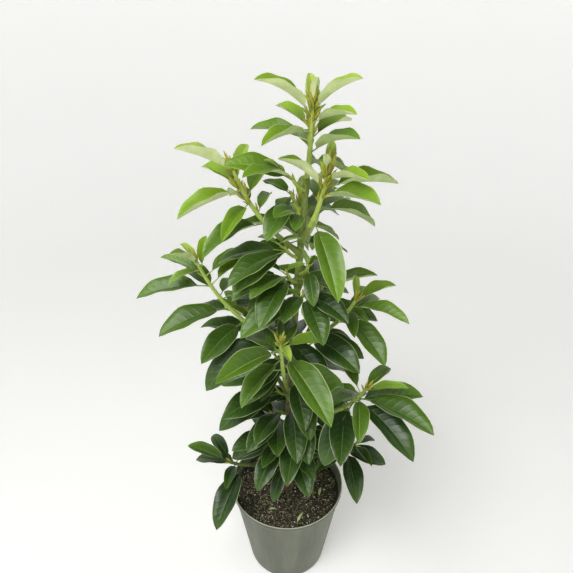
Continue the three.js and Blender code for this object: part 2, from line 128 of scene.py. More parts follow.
GOLDEN_ANGLE = 137.5
SEED = 20
SIDE_TWIG_SHARE = 0.36  # of the older leaves have a side twig in their axil
SIDE_TWIG_AGE = 0.5
SIDE_TWIG_LENGTHS = (16, 34)
SIDE_TWIG_RADIUS = 1.7
SIDE_TWIG_TIP = 0.9
SIDE_LEAVES = 3
SIDE_LEAF_LENGTHS = (40, 66)
SIDE_TRIES = 9


@dataclass
class Shoot:
    """A leafy shoot: where its limb leaves the trunk, where its tip is from there, and the leaves on it."""

    name: str
    height: float
    turn: float
    reach: float
    rise: float
    bare: float  # the share of the way that is a bough without leaves
    more: int  # leaves beside the outer ones
    size: float
    down_to: float = 0.1  # how far down the outer leaves go
    crowd: float = 1  # how much they crowd towards the tip
    outer: tuple = ()
    root_radius: float = 0
    first_turn: float = 90
    fan: float = 1
    first_rise: float = 34
    last_rise: float = -28
    tip_size: float = 0.7
    old_fold: float = OLD_FOLD
    aged_by: float = 0
    lowest: float = 0.14


# outer: (turn, rise, length) of the leaves that make a shoot's outline, from its tip down.
BOUGH_SHOOTS = [
    Shoot("leader", TRUNK_TOP, 0, 8, 118, 0, 6, 125, down_to=0.225, crowd=2.2, old_fold=38, first_turn=78,
          fan=0.4,
          outer=((95, 46, 72), (-82, 54, 64), (-42, 30, 112), (-148, 29, 126), (-50, 13, 104),
                 (-134, -4, 118), (150, 5, 126), (-48, 19, 118))),
    Shoot("upper_right", 885, -31, 49, 130, 0.25, 6, 130, down_to=0.15, crowd=2, old_fold=38, first_turn=110,
          fan=0.4,
          outer=((78, 40, 72), (-100, 46, 62), (-57, 12, 112), (20, -3, 150), (-50, 7, 134), (20, -23, 130),
                 (-74, -36, 170))),
    Shoot("upper_left", 857, 171, 123, 153, 0.36, 5, 130, down_to=0.3, crowd=0.8, old_fold=38, fan=0.4,
          outer=((-142, 25, 124), (-146, -14, 134), (-112, -18, 118), (77, 8, 95), (-138, -12, 145))),
    Shoot("lower_left", 625, 177, 188, 205, 0.4, 7, 130, down_to=0.25, crowd=1.85, fan=0.6,
          outer=((132, 20, 65), (-128, 34, 80), (-150, -14, 70), (38, 12, 112), (-172, -7, 150),
                 (75, -4, 100), (-154, -10, 152), (-124, -12, 136))),
    Shoot("front", 520, -97, 151, 222, 0.62, 4, 140, down_to=0.88, first_rise=-12, last_rise=-40,
          outer=((-74, 8, 62), (27, -12, 95), (-133, 4, 150), (-60, -17, 166), (82, 4, 112),
                 (135, -10, 120))),
    Shoot("right_mid", 640, -2, 124, 112, 0.5, 4, 130, down_to=0.65, crowd=1.5, fan=0.6,
          outer=((84, 22, 72), (31, 5, 114), (-42, 5, 130), (-88, -8, 84), (-60, -18, 140))),
    Shoot("right_low", 455, -44, 196, 175, 0.5, 6, 140, down_to=0.79,
          outer=((-24, 22, 86), (46, 5, 92), (134, -20, 72), (-98, -12, 105), (-42, 2, 158), (-72, -2, 160),
                 (-128, -42, 135))),
    Shoot("base_left", 300, -159, 142, 52, 0.55, 2, 120, down_to=0.4, crowd=2, first_turn=30,
          outer=((157, 3, 116), (124, 2, 100), (-99, 8, 84), (-112, -22, 150))),
    Shoot("base_right", 300, 4, 161, 45, 0.55, 3, 110, down_to=0.6, crowd=2,
          outer=((-69, 8, 86), (34, -20, 84), (-86, -14, 138))),
    Shoot("rear_high", 790, 85, 105, 130, 0.4, 11, 140, fan=0.7),
    Shoot("rear_right", 585, 58, 135, 150, 0.45, 11, 145, first_turn=80, fan=0.7),
    Shoot("rear_left", 500, 128, 155, 150, 0.45, 11, 145, first_turn=100, fan=0.6),
    Shoot("rear_low", 370, 84, 140, 90, 0.5, 9, 135),
]

# Short side twigs straight off the trunk: (height, turn, leaves, size, outer).
INNER_TWIGS = [
    (978, -130, 0, 130, ((-136, 12, 116), (-168, 16, 125))),
    (922, -107, 0, 105, ((-118, 11, 90), (-96, 8, 75))),
    (934, 126, 3, 130, ((127, 5, 100),)),
    (847, -138, 2, 150, ((-140, -22, 133), (172, -14, 140))),
    (795, -120, 3, 140, ((-130, -2, 108), (-115, -20, 132))),
    (757, -68, 3, 150, ((-82, -22, 121), (-48, -11, 118))),
    (765, 65, 4, 150, ()),
    (655, -151, 3, 160, ((-150, -19, 183),)),
    (612, -115, 2, 150, ((-124, -8, 127), (-103, -14, 133))),
    (602, 30, 4, 150, ()),
    (655, -42, 2, 140, ((-47, -6, 143),)),
    (580, 165, 3, 135, ()),
    (560, -80, 2, 140, ((-98, -18, 132),)),
    (510, -140, 1, 145, ((-138, 4, 148),)),
    (479, -80, 2, 145, ((-87, -11, 142),)),
    (456, -122, 2, 140, ((-116, 3, 118),)),
    (475, 60, 4, 150, ()),
    (398, -45, 4, 145, ()),
    (365, -121, 2, 130, ((-114, 8, 97),)),
    (360, -72, 2, 130, ((-66, -1, 111),)),
    (306, -100, 0, 110, ((-112, -33, 90),)),
    (330, 120, 4, 140, ()),
    (380, -140, 1, 120, ((-140, 6, 116),)),
    (430, 10, 3, 140, ()),
    (420, 175, 3, 140, ()),
    (813, -61, 0, 85, ((-73, -41, 81), (-135, 72, 60))),
]
INNER_SHOOTS = [
    Shoot(f"inner_{i + 1}", height, turn, 34, 26, 0, leaves, size, down_to=0.8, outer=outer,
          root_radius=TWIG_ROOT_RADIUS, first_turn=turn, first_rise=-8, last_rise=-30, tip_size=0.85,
          aged_by=1, lowest=0.5)
    for i, (height, turn, leaves, size, outer) in enumerate(INNER_TWIGS)
]
SHOOTS = BOUGH_SHOOTS + INNER_SHOOTS


def seeded_random(seed):
    """The source's own stream of random numbers from 0 to 1."""
    state = seed & 0xFFFFFFFF

    def draw():
        nonlocal state
        state = (state + 0x6D2B79F5) & 0xFFFFFFFF
        mixed = ((state ^ (state >> 15)) * (1 | state)) & 0xFFFFFFFF
        more = ((mixed ^ (mixed >> 7)) * (61 | mixed)) & 0xFFFFFFFF
        mixed = ((mixed + more) & 0xFFFFFFFF) ^ mixed
        return (mixed ^ (mixed >> 14)) / 4294967296

    return draw


def heading(turn):
    return np.array([math.cos(turn * RAD), math.sin(turn * RAD), 0.0])


def mix(a, b, share):
    return a + (b - a) * share


UP = np.array([0.0, 0.0, 1.0])


def trunk_centre(height):
    share = (height - SOIL_TOP) / (TRUNK_TOP - SOIL_TOP)
    x = TRUNK_LEAN * share - TRUNK_BOW * math.sin(math.pi * share)
    return np.array([x, TRUNK_BOW * 0.5 * math.sin(2 * math.pi * share), height])


def trunk_radius(height):
    share = (height - SOIL_TOP) / (TRUNK_TOP - SOIL_TOP)
    flare = TRUNK_FLARE * math.exp(-(height - SOIL_TOP) / TRUNK_FLARE_HEIGHT)
    return mix(TRUNK_FOOT_RADIUS, TRUNK_TOP_RADIUS, max(share, 0) ** 0.8) + flare


def limb_radius(t):
    return mix(LIMB_ROOT_RADIUS, LIMB_END_RADIUS, t)


class ShootLine:
    """The curve of a shoot: it leaves the trunk outwards and then turns up."""

    def __init__(self, shoot):
        out = heading(shoot.turn) * shoot.reach
        self.root = trunk_centre(shoot.height)
        self.knee = self.root + out * LIMB_OUTWARD + UP * shoot.rise * LIMB_UPWARD
        self.tip = self.root + out + UP * shoot.rise

    def point(self, t):
        return (1 - t) ** 2 * self.root + 2 * t * (1 - t) * self.knee + t * t * self.tip

    def tangent(self, t):
        along = 2 * (1 - t) * (self.knee - self.root) + 2 * t * (self.tip - self.knee)
        return along / np.linalg.norm(along)

    def length(self):
        points = np.array([self.point(t) for t in np.linspace(0, 1, 30)])
        return float(np.linalg.norm(np.diff(points, axis=0), axis=1).sum())


@dataclass
class Leaf:
    """One leaf: an arched midrib from its root on the stem, and a folded blade along it."""

    root: np.ndarray
    t: float
    age: float
    turn: float
    rise: float
    length: float
    bend: float
    roll: float
    width: float
    fold: float
    tilt: float
    shoot: int
    middle: np.ndarray = None

    def frame(self, shares):
        """The midrib's points at these shares of its way, and the directions along, across and out of it."""
        shares = np.asarray(shares, float)
        bend = self.bend * RAD
        first = self.rise * RAD + bend / 2
        angle = first - bend * shares
        arc = self.length * (bend / 2) / math.sin(bend / 2)
        outward = arc * (math.sin(first) - np.sin(angle)) / bend
        upward = arc * (np.cos(angle) - math.cos(first)) / bend
        out = heading(self.turn)
        centre = self.root + outward[:, None] * out + upward[:, None] * UP
        along = np.cos(angle)[:, None] * out + np.sin(angle)[:, None] * UP
        flat_face = -np.sin(angle)[:, None] * out + np.cos(angle)[:, None] * UP
        flat_across = np.cross(flat_face, along)
        roll = (self.roll + self.tilt * out[0]) * RAD
        face = flat_face * math.cos(roll) - flat_across * math.sin(roll)
        across = flat_across * math.cos(roll) + flat_face * math.sin(roll)
        return centre, along, across, face

    def half_width(self, shares):
        """Half the blade's width at these shares of its own length."""
        shares = np.clip(shares, 0, 1)
        return self.length * (1 - STALK) * self.width * 0.5 * np.sin(math.pi * shares**0.92) ** 0.65


PROBE_ROWS = np.arange(13) / 12
PROBE_COLUMNS = np.array([-1, -0.67, -0.33, 0, 0.33, 0.67, 1])


def leaf_probes(leaf):
    """Points spread over a leaf, each with its share of the blade's way, which is below 0 on the stalk."""
    ways = np.array([0.3, 0.65])
    stalk = leaf.frame(STALK * ways)[0]
    centre, _, across, face = leaf.frame(mix(STALK, 1, PROBE_ROWS))
    width = leaf.half_width(PROBE_ROWS)
    reach = width[:, None] * PROBE_COLUMNS[None, :]
    lift = np.abs(reach) * math.sin(leaf.fold * RAD)
    blade = (
        centre[:, None, :]
        + (reach * math.cos(leaf.fold * RAD))[..., None] * across[:, None, :]
        + lift[..., None] * face[:, None, :]
    )
    kept = (width[:, None] >= NARROWEST) | (PROBE_COLUMNS[None, :] == 0)
    shares = np.broadcast_to(PROBE_ROWS[:, None], kept.shape)
    return np.vstack([stalk, blade[kept]]), np.concatenate([ways - 1, shares[kept]])


def clear_of_pot(points):
    out = np.hypot(points[:, 0], points[:, 1])
    above = points[:, 2] > POT_HEIGHT + POT_SPACE
    within = out < POT_RADIUS - LIP_STEP - POT_SPACE
    inside = within & (points[:, 2] > SOIL_TOP + SOIL_SPACE)
    outside = (out > POT_RADIUS + POT_SPACE) & (points[:, 2] > GROUND_SPACE)
    return above | inside | (~within & outside)


# How a leaf may be turned, dipped and shortened until it finds a free place, nearest first.
STEPS = [(9, 1), (18, 0.96), (28, 0.92), (40, 0.86), (54, 0.78)]
WAYS = [(1, 0), (-1, 0), (0, -1), (0, 1), (1, -1), (-1, -1), (1, 1), (-1, 1)]
TRIES = [(0, 0, 1)]
TRIES += [(turn * step, rise * step * 0.7, scale) for step, scale in STEPS for turn, rise in WAYS]


class Crown:
    """All the limbs and the leaves that have found a place among them."""

    def __init__(self):
        self.lines = [ShootLine(shoot) for shoot in SHOOTS]
        self.leaves = []
        self.main_leaves = []
        self.probes = []
        self.middles = np.empty((0, 3))
        self.lengths = np.empty(0)
        self.side_twigs = []
        limbs = []
        for i in range(TRUNK_PROBES + 1):
            height = mix(SOIL_TOP, TRUNK_TOP, i / TRUNK_PROBES)
            limbs.append((*trunk_centre(height), trunk_radius(height), -1))
        for index, line in enumerate(self.lines):
            for i in range(LIMB_PROBES + 1):
                t = mix(0.02, 1, i / LIMB_PROBES)
                limbs.append((*line.point(t), limb_radius(t), index))
            bud = line.point(1) + line.tangent(1) * BUD_LENGTH * 0.7
            limbs.append((*bud, BUD_RADIUS, index))
        self.limbs = np.array(limbs)

    def free_place(self, leaf):
        """The leaf's probes if it meets nothing, or else None."""
        points, shares = leaf_probes(leaf)
        if not clear_of_pot(points).all():
            return None
        leaf.middle = leaf.frame([0.5])[0][0]
        limbs = self.limbs[np.linalg.norm(self.limbs[:, :3] - leaf.middle, axis=1) < leaf.length + NEAR]
        gap = np.linalg.norm(points[:, None, :] - limbs[None, :, :3], axis=2) - limbs[None, :, 3]
        gap -= np.where(shares < 0, STALK_SPACE, LIMB_SPACE)[:, None]
        own_root = (limbs[None, :, 4] == leaf.shoot) & (shares[:, None] < OWN_ROOT)
        if (gap[~own_root] < 0).any():
            return None
        apart = np.linalg.norm(self.middles - leaf.middle, axis=1)
        for index in np.nonzero(apart <= (leaf.length + self.lengths) / 2 + NEAR)[0]:
            other = self.leaves[index]
            their_points, their_shares = self.probes[index]
            mine, theirs, space = points, their_points, LEAF_SPACE
            if other.shoot == leaf.shoot:
                mine, theirs = points[shares >= OWN_ROOT], their_points[their_shares >= OWN_ROOT]
                space = OWN_SPACE
            if (np.linalg.norm(mine[:, None, :] - theirs[None, :, :], axis=2) < space).any():
                return None
        return points, shares

    def place(self, wanted, tries=TRIES):
        """Adds the leaf at the first of the tries that is free, or leaves it out."""
        for turn, rise, scale in tries:
            leaf = replace(wanted, turn=wanted.turn + turn, rise=wanted.rise + rise,
                           length=wanted.length * scale)
            if not LOWEST_RISE <= leaf.rise <= HIGHEST_RISE:
                continue
            probes = self.free_place(leaf)
            if probes is None:
                continue
            self.leaves.append(leaf)
            self.probes.append(probes)
            self.middles = np.vstack([self.middles, leaf.middle])
            self.lengths = np.append(self.lengths, leaf.length)
            return


def outer_leaves(shoot, draw):
    """The leaves that make a mass's outline, crowded towards the tip."""
    for i, (turn, rise, length) in enumerate(shoot.outer):
        share = i / len(shoot.outer)
        age = max(share, shoot.aged_by)
        yield {"t": mix(1, shoot.down_to, share**shoot.crowd), "age": age, "turn": turn, "rise": rise,
               "length": length, **traits(age, draw)}


def inner_leaves(shoot, draw):
    """The rest of its leaves, which stand a golden angle apart around the stem."""
    for i in range(shoot.more):
        share = (i + 0.5) / shoot.more
        age = max(share, shoot.aged_by)
        swing = (i * GOLDEN_ANGLE + 180) % 360 - 180
        turn = shoot.first_turn + swing * shoot.fan + (draw() - 0.5) * 20
        rise = mix(shoot.first_rise, shoot.last_rise, share) + (draw() - 0.5) * 12
        length = shoot.size * mix(shoot.tip_size, 1, min(1, share * 2)) * (0.9 + 0.2 * draw())
        yield {"t": mix(0.97, mix(shoot.bare, 1, shoot.lowest), share), "age": age,
               "turn": turn, "rise": rise, "length": length, **traits(age, draw)}


def traits(age, draw):
    bend = mix(YOUNG_BEND, OLD_BEND, age) + BEND_SPREAD * draw()
    roll = (draw() - 0.5) * 2 * ROLL_SPREAD
    return {"bend": bend, "roll": roll, "width": LEAF_WIDTH * (0.92 + 0.2 * draw())}


@functools.lru_cache(maxsize=1)
def grow_crown():
    """Every limb, then the outer leaves of all shoots, and then the rest from the trunk outwards."""
    crown = Crown()
    draws = [seeded_random(SEED + 101 * i) for i in range(len(SHOOTS))]

    def grow(index, wishes):
        for wish in wishes:
            root = crown.lines[index].point(wish["t"])
            fold = mix(YOUNG_FOLD, SHOOTS[index].old_fold, wish["age"])
            tilt = mix(YOUNG_TILT, OLD_TILT, wish["age"])
            crown.place(Leaf(root=root, fold=fold, tilt=tilt, shoot=index, **wish))

    for index, shoot in enumerate(SHOOTS):
        grow(index, outer_leaves(shoot, draws[index]))
    boughs = len(BOUGH_SHOOTS)
    for index in [*range(boughs, len(SHOOTS)), *range(boughs)]:
        grow(index, inner_leaves(SHOOTS[index], draws[index]))
    crown.main_leaves = list(crown.leaves)
    crown.side_twigs = grow_side_twigs(crown)
    return crown


def grow_side_twigs(crown):
    """The same rule one order finer: short twigs in the older leaves' axils on the inner and rear shoots,
    each with a few small leaves."""
    draw = seeded_random(SEED + 9)
    twigs = []
    for leaf in crown.main_leaves:
        open_to_view = SHOOTS[leaf.shoot].outer and leaf.shoot < len(BOUGH_SHOOTS)
        if open_to_view or leaf.age < SIDE_TWIG_AGE or draw() > SIDE_TWIG_SHARE:
            continue
        way = crown.lines[leaf.shoot].tangent(leaf.t) * 0.5 + heading(leaf.turn) * 0.7 + UP * 0.4
        way /= np.linalg.norm(way)
        length = mix(*SIDE_TWIG_LENGTHS, draw())
        grown = len(crown.leaves)
        for i in range(SIDE_LEAVES):
            share = i / SIDE_LEAVES
            turn = leaf.turn + (i * GOLDEN_ANGLE + 180) % 360 - 180
            root = leaf.root + way * length * mix(1, 0.6, share)
            wish = {**traits(0.4, draw), "turn": turn, "rise": mix(30, -12, share) + (draw() - 0.5) * 16,
                    "length": mix(*SIDE_LEAF_LENGTHS, share) * (0.85 + 0.3 * draw())}
            crown.place(Leaf(root=root, t=leaf.t, age=mix(0.2, 0.5, share), fold=YOUNG_FOLD, tilt=OLD_TILT,
                             shoot=leaf.shoot, **wish), TRIES[:SIDE_TRIES])
        if len(crown.leaves) > grown:
            twigs.append((leaf.root, leaf.root + way * (length + 3)))
    return twigs


# ---------------------------------------------------------------- Node helpers

MIX_SHARE, MIX_A, MIX_B, MIX_RESULT = 0, 6, 7, 2  # the sockets of a Mix node that mixes colours


def add_node(tree, kind, inputs=None, **settings):
    """A node with its settings, its input values, and links where an input is another node's output."""
    node = tree.nodes.new(kind)
    for key, value in settings.items():
        setattr(node, key, value)
    for key, value in (inputs or {}).items():
        if isinstance(value, bpy.types.NodeSocket):
            tree.links.new(value, node.inputs[key])
        else:
            node.inputs[key].default_value = value
    return node


def add_group(tree, group, inputs):
    return add_node(tree, "ShaderNodeGroup", inputs, node_tree=group).outputs


def math_node(tree, operation, a, b=0.0):
    return add_node(tree, "ShaderNodeMath", {0: a, 1: b}, operation=operation).outputs[0]


def times(tree, a, b):
    return math_node(tree, "MULTIPLY", a, b)


def one_axis(tree, vector, axis):
    return add_node(tree, "ShaderNodeSeparateXYZ", {0: vector}).outputs[axis]


def map_range(tree, value, low, high, to_low=0.0, to_high=1.0, smooth=False):
    inputs = {"Value": value, "From Min": low, "From Max": high, "To Min": to_low, "To Max": to_high}
    kind = "SMOOTHSTEP" if smooth else "LINEAR"
    return add_node(tree, "ShaderNodeMapRange", inputs, interpolation_type=kind).outputs["Result"]


def mix_colour(tree, share, a, b):
    """Two colours mixed by a share. Each is a plain colour or a node's output."""
    a, b = (value if isinstance(value, bpy.types.NodeSocket) else (*value, 1) for value in (a, b))
    inputs = {MIX_SHARE: share, MIX_A: a, MIX_B: b}
    return add_node(tree, "ShaderNodeMix", inputs, data_type="RGBA").outputs[MIX_RESULT]


def new_group(name, inputs, outputs):
    """An empty shader group with a vector input and number inputs, and its input and output sockets."""
    group = bpy.data.node_groups.new(name, "ShaderNodeTree")
    for socket, value in inputs.items():
        kind = "NodeSocketVector" if value is None else "NodeSocketFloat"
        item = group.interface.new_socket(name=socket, in_out="INPUT", socket_type=kind)
        if value is not None:
            item.default_value = value
    for socket in outputs:
        group.interface.new_socket(name=socket, in_out="OUTPUT", socket_type="NodeSocketFloat")
    return group, group.nodes.new("NodeGroupInput").outputs, group.nodes.new("NodeGroupOutput").inputs


@functools.lru_cache(maxsize=None)
def mottle_group():
    """Soft patches: cloudy noise from Low to High at a scale, with some finer cloud in it."""
    inputs = {"Vector": None, "Scale": 40.0, "Low": 0.0, "High": 1.0}
    group, given, result = new_group("mottle", inputs, ["Value"])
    texture = {"Vector": given["Vector"], "Scale": given["Scale"], "Detail": 4.0, "Roughness": 0.6}
    cloud = add_node(group, "ShaderNodeTexNoise", texture).outputs["Fac"]
    group.links.new(map_range(group, cloud, 0.3, 0.7, given["Low"], given["High"]), result["Value"])
    return group


@functools.lru_cache(maxsize=None)
def fibre_group():
    """Noise drawn out along Z, as in bark, green wood and moulded plastic."""
    inputs = {"Vector": None, "Scale": 300.0, "Stretch": 6.0}
    group, given, result = new_group("fibres", inputs, ["Height"])
    squeeze = math_node(group, "DIVIDE", 1.0, given["Stretch"])
    factors = add_node(group, "ShaderNodeCombineXYZ", {"X": 1.0, "Y": 1.0, "Z": squeeze}).outputs[0]
    drawn = add_node(group, "ShaderNodeVectorMath", {0: given["Vector"], 1: factors}, operation="MULTIPLY")
    texture = {"Vector": drawn.outputs[0], "Scale": given["Scale"], "Detail": 3.0, "Roughness": 0.65}
    group.links.new(add_node(group, "ShaderNodeTexNoise", texture).outputs["Fac"], result["Height"])
    return group


@functools.lru_cache(maxsize=None)
def vein_group():
    """A leaf's side veins, the puckered skin between them and its thin margin, on the leaf's own UV map."""
    inputs = {"UV": None, "Pairs": 9.0, "Slant": 0.15}
    group, given, result = new_group("leaf_veins", inputs, ["Veins", "Quilt", "Margin"])
    place = add_node(group, "ShaderNodeSeparateXYZ", {0: given["UV"]}).outputs
    side = math_node(group, "SUBTRACT", times(group, place["X"], 2.0), 1.0)
    across = math_node(group, "ABSOLUTE", side)
    curl = times(group, math_node(group, "POWER", across, 3.0), 0.07)
    rising = math_node(group, "ADD", times(group, across, given["Slant"]), curl)
    start = math_node(group, "SUBTRACT", place["Y"], rising)
    staggered = times(group, math_node(group, "GREATER_THAN", side, 0.0), 0.45)
    count = math_node(group, "ADD", times(group, start, given["Pairs"]), staggered)
    apart = math_node(group, "SUBTRACT", math_node(group, "FRACT", count), 0.5)
    closeness = times(group, math_node(group, "ABSOLUTE", apart), 2.0)
    fade = map_range(group, across, 0.55, 0.95, 1.0, 0.0)
    lines = map_range(group, closeness, 0.9, 0.99, smooth=True)
    pucker = math_node(group, "SUBTRACT", 1.0, math_node(group, "POWER", closeness, 3.0))
    group.links.new(times(group, lines, fade), result["Veins"])
    group.links.new(times(group, pucker, fade), result["Quilt"])
    group.links.new(map_range(group, across, 0.93, 0.97), result["Margin"])
    return group


def mottle(tree, place, scale):
    return add_group(tree, mottle_group(), {"Vector": place["Object"], "Scale": scale})["Value"]


def fibres(tree, place, scale, stretch):
    inputs = {"Vector": place["Object"], "Scale": scale, "Stretch": stretch}
    return add_group(tree, fibre_group(), inputs)["Height"]


def new_material(name, **values):
    """A material with its shader's constant values set, and its tree, shader and texture coordinates."""
    material = bpy.data.materials.new(name)
    material.use_nodes = True
    tree = material.node_tree
    shader = tree.nodes["Principled BSDF"]
    for key, value in values.items():
        shader.inputs[key.replace("_", " ")].default_value = value
    return material, tree, shader, tree.nodes.new("ShaderNodeTexCoord").outputs


def set_surface(tree, shader, skin, rough):
    tree.links.new(skin, shader.inputs["Base Color"])
    tree.links.new(rough, shader.inputs["Roughness"])


def add_bump(tree, shader, height, distance, strength=1.0):
    bump = add_node(tree, "ShaderNodeBump", {"Height": height, "Distance": distance, "Strength": strength})
    tree.links.new(bump.outputs["Normal"], shader.inputs["Normal"])


def scaled(colour, factor):
    return tuple(min(1.0, part * factor) for part in colour)


def blend(a, b, share):
    share = min(max(share, 0), 1)
    return tuple(mix(x, y, share) for x, y in zip(a, b))


# ---------------------------------------------------------------- Materials

VEIN_SHOW = 0.3
MARGIN_SHOW = 0.85
SKIN_GRAIN = 0.12  # the fine grain's share of the relief beside the puckers between the veins
# the share of the upper side's colour left at the stalk, as painted shade
LEAF_BASE_PAINTED_SHADE = 0.62
# the pale colour of the painted highlight along the pot's top edge
RIM_HIGHLIGHT_COLOUR = rgb("b9bcaa")
DUST_COLOUR = rgb("a3a394")


def leaf_material(name, colour, gloss, vein=None, margin=None, tip=None):
    """A waxy skin in soft patches of its plain base colour. With a vein colour it has side veins and a margin
    and is puckered between the veins. With a tip colour it has painted shade at the stalk and turns to that
    colour towards the tip."""
    material, tree, shader, place = new_material(name, Specular_IOR_Level=0.5)
    patches = mottle(tree, place, scale=45.0)
    skin = mix_colour(tree, patches, scaled(colour, 0.86), scaled(colour, 1.14))
    if tip:
        along = one_axis(tree, place["UV"], "Y")
        # painted shade: darker towards the stalk, then turning to the tip colour towards the tip
        skin = mix_colour(tree, map_range(tree, along, 0.0, 0.75), scaled(colour, LEAF_BASE_PAINTED_SHADE), skin)
        skin = mix_colour(tree, map_range(tree, along, 0.5, 1.05), skin, tip)
    height = mottle(tree, place, scale=900.0)
    relief = 0.0002
    if vein:
        veins = add_group(tree, vein_group(), {"UV": place["UV"]})
        skin = mix_colour(tree, times(tree, veins["Veins"], VEIN_SHOW), skin, vein)
        skin = mix_colour(tree, times(tree, veins["Margin"], MARGIN_SHOW), skin, margin)
        height = math_node(tree, "ADD", veins["Quilt"], times(tree, height, SKIN_GRAIN))
        relief = 0.0006
    set_surface(tree, shader, skin, map_range(tree, patches, 0.0, 1.0, gloss - 0.05, gloss + 0.08))
    add_bump(tree, shader, height, relief, strength=0.5)
    return material


def wood_material(name, colour, dark, scale, stretch, relief, gloss):
    """Stems: fibres along the stem, darker in the hollows, over soft patches, and darkened low on the plant
    by painted shade.
    """
    material, tree, shader, place = new_material(name)
    grain = fibres(tree, place, scale, stretch)
    patches = mottle(tree, place, scale=60.0)
    skin = mix_colour(tree, map_range(tree, grain, 0.35, 0.6), dark, colour)
    skin = mix_colour(tree, times(tree, patches, 0.35), skin, scaled(colour, 1.25))
    # painted shade: below 0.8 m the stems darken, to their darkest at 0.32 m
    above_painted_shade = map_range(tree, one_axis(tree, place["Object"], "Z"), 0.32, 0.8)
    skin = mix_colour(tree, above_painted_shade, scaled(dark, 0.25), skin)
    set_surface(tree, shader, skin, map_range(tree, patches, 0.0, 1.0, gloss, gloss + 0.15))
    add_bump(tree, shader, grain, relief)
    return material


def trunk_material(settings):
    """Brown bark at the foot that turns to smooth green wood on the way up."""
    material, tree, shader, place = new_material("trunk_bark")
    grain = fibres(tree, place, scale=420.0, stretch=7.0)
    patches = mottle(tree, place, scale=38.0)
    ragged = math_node(tree, "ADD", one_axis(tree, place["Object"], "Z"), times(tree, patches, 0.16))
    green = map_range(tree, ragged, settings.bark_top, settings.bark_top + 0.22, smooth=True)
    ridge = map_range(tree, grain, 0.38, 0.62)
    bark = mix_colour(tree, ridge, scaled(settings.bark, 0.45), scaled(settings.bark, 1.15))
    wood = mix_colour(tree, ridge, scaled(settings.green_wood, 0.55), settings.green_wood)
    skin = mix_colour(tree, green, bark, wood)
    set_surface(tree, shader, skin, map_range(tree, green, 0.0, 1.0, 0.85, 0.5))
    add_bump(tree, shader, grain, 0.0012)
    return material


def pot_material(settings):
    """Grey-green moulded plastic with painted reflections in streaks down the wall, dusty in patches, and
    with a painted highlight along the top of the rim.
    """
    material, tree, shader, place = new_material("pot_plastic", Specular_IOR_Level=0.45)
    plastic = settings.plastic
    streaks = fibres(tree, place, scale=42.0, stretch=12.0)
    # painted reflections: paler and darker bands down the wall, and darker narrow bands from a finer streak
    # noise
    painted_dark_streaks = fibres(tree, place, scale=16.0, stretch=14.0)
    dust = mottle(tree, place, scale=30.0)
    grain = mottle(tree, place, scale=1400.0)
    painted_streak_reflections = map_range(tree, streaks, 0.35, 0.65)
    skin = mix_colour(tree, painted_streak_reflections, scaled(plastic, 0.88), scaled(plastic, 1.12))
    skin = mix_colour(tree, map_range(tree, painted_dark_streaks, 0.42, 0.56), scaled(plastic, 0.66), skin)
    skin = mix_colour(tree, times(tree, dust, 0.18), skin, DUST_COLOUR)
    height = one_axis(tree, place["Object"], "Z")
    # painted highlight: the top of the rim is pale from this height up
    painted_highlit = map_range(tree, height, settings.rim_highlight_from - 0.0006, settings.rim_highlight_from)
    skin = mix_colour(tree, painted_highlit, skin, RIM_HIGHLIGHT_COLOUR)
    set_surface(tree, shader, skin, map_range(tree, dust, 0.0, 1.0, 0.38, 0.56))
    relief = math_node(tree, "ADD", times(tree, streaks, 3.0), times(tree, grain, 0.15))
    add_bump(tree, shader, relief, 0.0006)
    return material


def soil_material(settings):
    """Damp potting mix: near-black crumbs with paler specks."""
    material, tree, shader, place = new_material("soil")
    crumbs = add_node(tree, "ShaderNodeTexVoronoi", {"Vector": place["Object"], "Scale": 330.0})
    patches = mottle(tree, place, scale=70.0)
    tone = add_node(tree, "ShaderNodeSeparateColor", {0: crumbs.outputs["Color"]}).outputs[0]
    speck = map_range(tree, tone, 0.35, 0.98)
    skin = mix_colour(tree, speck, scaled(settings.soil, 0.5), scaled(settings.soil, 5))
    skin = mix_colour(tree, times(tree, patches, 0.5), skin, scaled(settings.soil, 0.6))
    set_surface(tree, shader, skin, map_range(tree, patches, 0.0, 1.0, 0.8, 0.98))
    add_bump(tree, shader, crumbs.outputs["Distance"], 0.003)
    return material


def crumb_material(name, colour):
    """A loose bit on the soil: uneven colour and a rough skin."""
    material, tree, shader, place = new_material(name)
    patches = mottle(tree, place, scale=260.0)
    skin = mix_colour(tree, patches, scaled(colour, 0.65), scaled(colour, 1.2))
    set_surface(tree, shader, skin, map_range(tree, patches, 0.0, 1.0, 0.75, 0.95))
    add_bump(tree, shader, patches, 0.0006)
    return material


def studio_material(settings):
    """Smooth pale studio paper with a trace of cloud in it. It shines a little more further out, but less at
    the front and high up, so that the leaves keep their dark greens."""
    material, tree, shader, place = new_material("studio_paper", Specular_IOR_Level=0.1,
                                                 Emission_Strength=settings.glow)
    cloud = mottle(tree, place, scale=1.5)
    pale = mix_colour(tree, cloud, scaled(settings.paper, 0.985), settings.paper)
    set_surface(tree, shader, pale, map_range(tree, cloud, 0.0, 1.0, 0.9, 1.0))
    out = add_node(tree, "ShaderNodeVectorMath", {0: place["Object"]}, operation="LENGTH").outputs["Value"]
    far = map_range(tree, out, 0.5, 4.5, smooth=True)
    glow = mix_colour(tree, far, (0.78, 0.78, 0.76), (1.0, 1.0, 0.985))
    where = add_node(tree, "ShaderNodeSeparateXYZ", {0: place["Object"]}).outputs
    behind = map_range(tree, where["Y"], -3.4, -1.4, smooth=True)
    low = map_range(tree, where["Z"], 2.0, 3.4, 1.0, 0.0, smooth=True)
    glow = mix_colour(tree, times(tree, behind, low), scaled(settings.paper, 0.35), glow)
    tree.links.new(glow, shader.inputs["Emission Color"])
    return material


# ---------------------------------------------------------------- Mesh helpers


